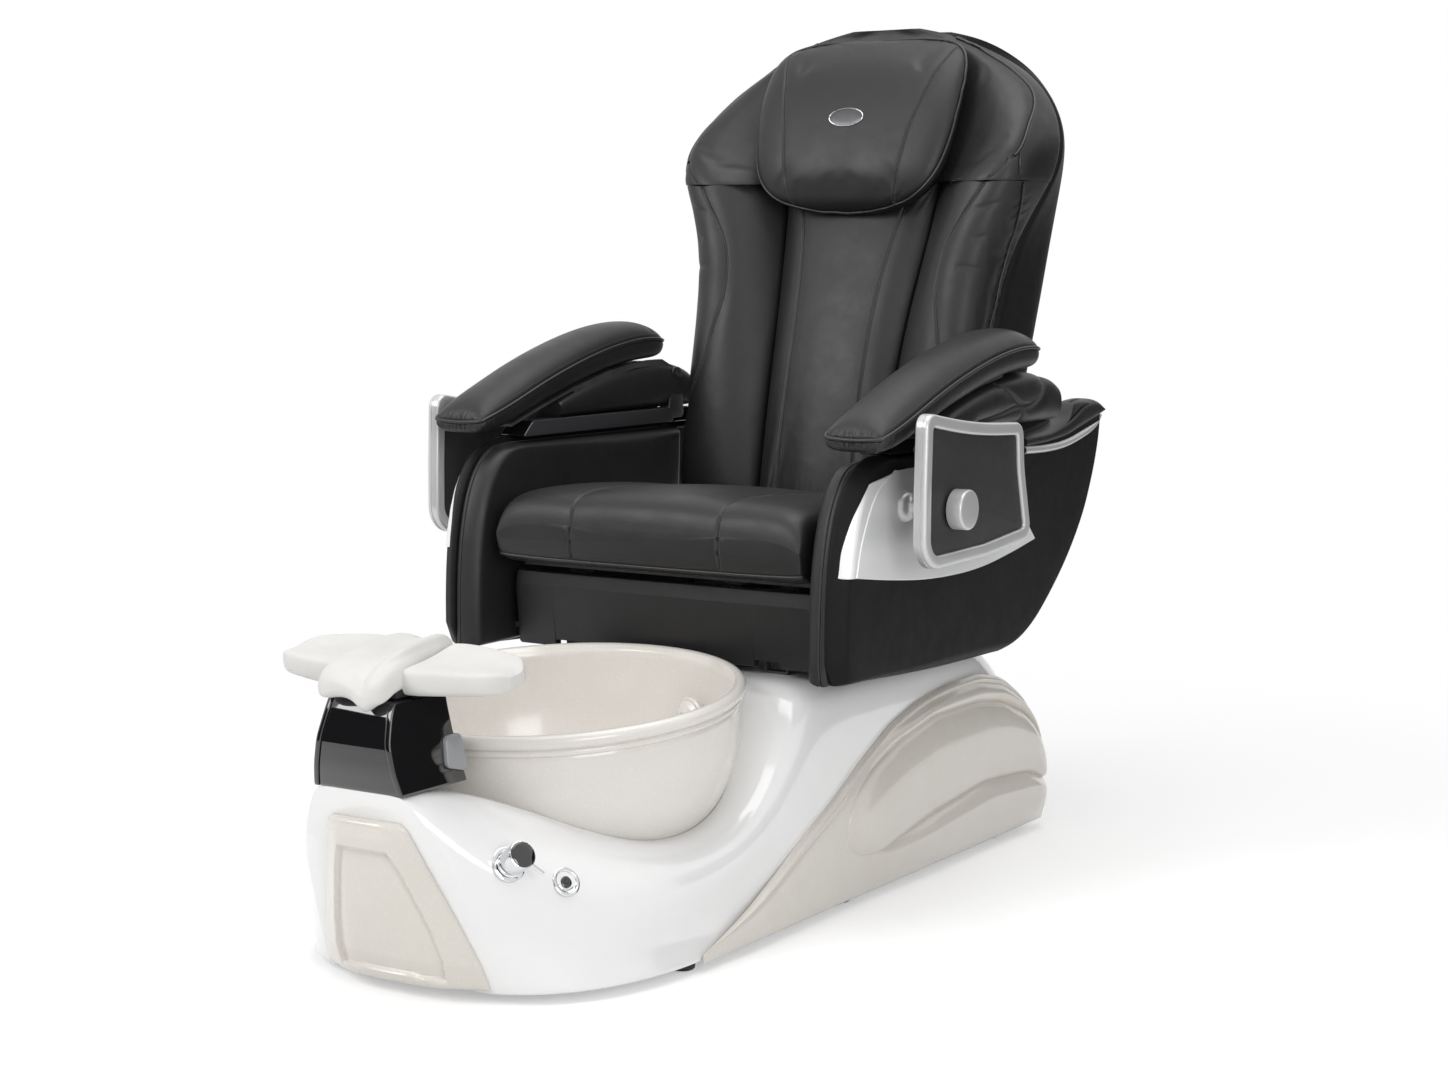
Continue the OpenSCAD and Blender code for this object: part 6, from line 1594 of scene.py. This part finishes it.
for side, name in ((1, "left"), (-1, "right")):
    flip = (side, 1, 1)
    if side < 0:
        twin = bolster_pad.data.copy()
        twin.transform(Matrix.Scale(-1, 4, (1, 0, 0)))
        twin.flip_normals()
        pad = bpy.data.objects.new("bolster_cushion_right", twin)
        studio.collection.objects.link(pad)
        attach(pad, "back")
        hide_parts("bolster_right")
    else:
        pad = bolster_pad
    stitched("bolster_stitches_" + name, pad, [on_bolster * flip], thread, "back", (-3.4, 3.4))
    edge, normals = laid_on(pad, side_edge * flip)
    piped("bolster_piping_" + name, edge + normals * 1.6, 2.6, piping_hide, "back")
    edge, normals = laid_on(shoulder_pad, wing_piping * flip)
    piped("wing_piping_" + name, edge + normals * 1.8, 2.8, piping_hide, "back")
    edge, normals = laid_on(shoulder_pad, side_top * flip)
    piped("side_piping_" + name, edge + normals * 1.6, 2.6, piping_hide, "back")
    seam = laid_on(shoulder_pad, (level_seam + (0, 0, 3.6)) * flip)[0]
    stitched("shoulder_stitches_" + name, shoulder_pad, [seam], thread, "back", (0,))
    seam = laid_on(pad, (level_seam - (0, 0, 4.4)) * flip)[0]
    stitched("bolster_top_stitches_" + name, pad, [seam], thread, "back", (0,))
stitched("wing_stitches", shoulder_pad, shoulder_seams, thread, "back", (-3.4, 3.4))

# ---- Head pillow ---------------------------------------------------------------------------
# A loose foam pillow buttoned on over the shoulder cushion: a domed face with two sewn lines,
# a piped edge and a dark gusset behind it. A bare chromed oval is pressed on its middle.
pillow_rows = [(1134, 60, 14), (1140, 110, 26), (1160, 166, 44), (1200, 196, 58), (1250, 208, 66),
    (1310, 214, 72), (1370, 214, 66), (1415, 206, 52), (1440, 180, 34), (1452, 140, 16)]
pillow_net = []
for z, w, t in pillow_rows:
    b = at(back_line, z) - 14
    swell = 7 * math.exp(-((z - 1210) / 55) ** 2)
    pillow_net.append(both_sides([(x * w, b + h * (t + swell)) for x, h in (
        (0.9, 0), (0.99, -0.3), (0.965, -0.7), (0.8, -0.92), (0.45, -1.0))], z))
pillow = closed_ends(lofted(pillow_net, 14, 9), (0.92, 0.8, 0.6, 0.35), 1.0)
pillow_pad = made("pillow_cover", pillow, skin_faces(*pillow.shape[:2], True), hide.material, "pillow",
    "head_pillow", 180)
start_b = np.interp(pillow[..., 2], *np.array(back_line, float).T) - 14
held = pillow[..., 1] > start_b - 6
puff(pillow_pad, held.ravel(), 3)
cover = read_points(pillow_pad)[0].reshape(pillow.shape)
finer(pillow_pad)
pillow_seams = []
for side in (1, -1):
    line = even([(side * x, at(back_line, z) - 88, z)
        for x, z in ((104, 1138), (107, 1152), (113, 1190), (120, 1222), (131, 1290), (142, 1330),
        (154, 1378), (168, 1414), (176, 1434))], 3)
    pillow_seams.append(laid_on(pillow_pad, line, (0, 1, 0))[0])
half_loop = [(26, 1197, 1133), (95, 1187, 1143), (139, 1184, 1160), (169, 1188, 1187), (187, 1196, 1214),
    (201, 1211, 1255), (209, 1234, 1314), (209, 1260, 1369), (202, 1281, 1407), (190, 1292, 1427),
    (166, 1304, 1442), (110, 1312, 1450)]
pillow_loop = even(half_loop + [(-x, y, z) for x, y, z in half_loop[::-1]], 3, True)
pillow_edge = laid_on(pillow_pad, pillow_loop)[0]
sew(pillow_pad, pillow_seams, 2.2, 2.5, 0.7, 12)
sew(pillow_pad, [np.concatenate([pillow_edge, pillow_edge[:1]])], 1.8, 3.6, 0.8, 12)
stitched("pillow_stitches", pillow_pad, pillow_seams, thread, "pillow", (-3.6, 3.6))
edge, normals = laid_on(pillow_pad, pillow_loop)
piped("pillow_piping", edge + normals * 1.8, 2.9, piping_hide, "pillow", closed=True)

badge_spot, badge_way = laid_on(pillow_pad, [(0, 1190, 1308)] * 9, (0, 1, 0))
badge_spot, badge_way = badge_spot[4], badge_way[4]
side_way = np.array([1.0, 0, 0])
up_way = np.cross(badge_way, side_way)
up_way *= np.sign(up_way[2]) / np.linalg.norm(up_way)
badge_wide, badge_tall = 36, 18.5


def badge_ring(share, lift):
    """Oval round the badge's middle, drawn in by a share of a millimetre and lifted off the leather."""
    a = np.linspace(0, math.tau, 96, endpoint=False)[:, None]
    across, up = side_way * (badge_wide - share), up_way * (badge_tall - share)
    return badge_spot + across * np.cos(a) + up * np.sin(a) + badge_way * lift


ring_section = [(0, -3.5), (0, 1.0), (0.4, 1.8), (1.1, 2.2), (1.9, 1.9), (2.3, 1.2), (2.4, -3.5)]
ring_rows = np.array([badge_ring(d, h) for d, h in ring_section])
m, n = ring_rows.shape[:2]
made("badge_ring", ring_rows,
    [[i * n + j, i * n + (j + 1) % n, ((i + 1) % m) * n + (j + 1) % n, ((i + 1) % m) * n + j]
    for i in range(m) for j in range(n)], chrome.material, "pillow", "pillow_badge", 50)
plate_rows = np.array([badge_ring(2.2, -3.2), badge_ring(2.2, 0.5), badge_ring(5, 0.9), badge_ring(9, 1.2)])
badge_grey = Finish("satin_grey_plate", (0.085, 0.085, 0.088), 0.32, metallic=0.6)
badge_grey.spread(badge_grey.group(film_group, Scale=60.0)["Patches"], 0.28, 0.4)
made("badge_plate", plate_rows, skin_faces(*plate_rows.shape[:2]), badge_grey.material, "pillow",
    (), 40)
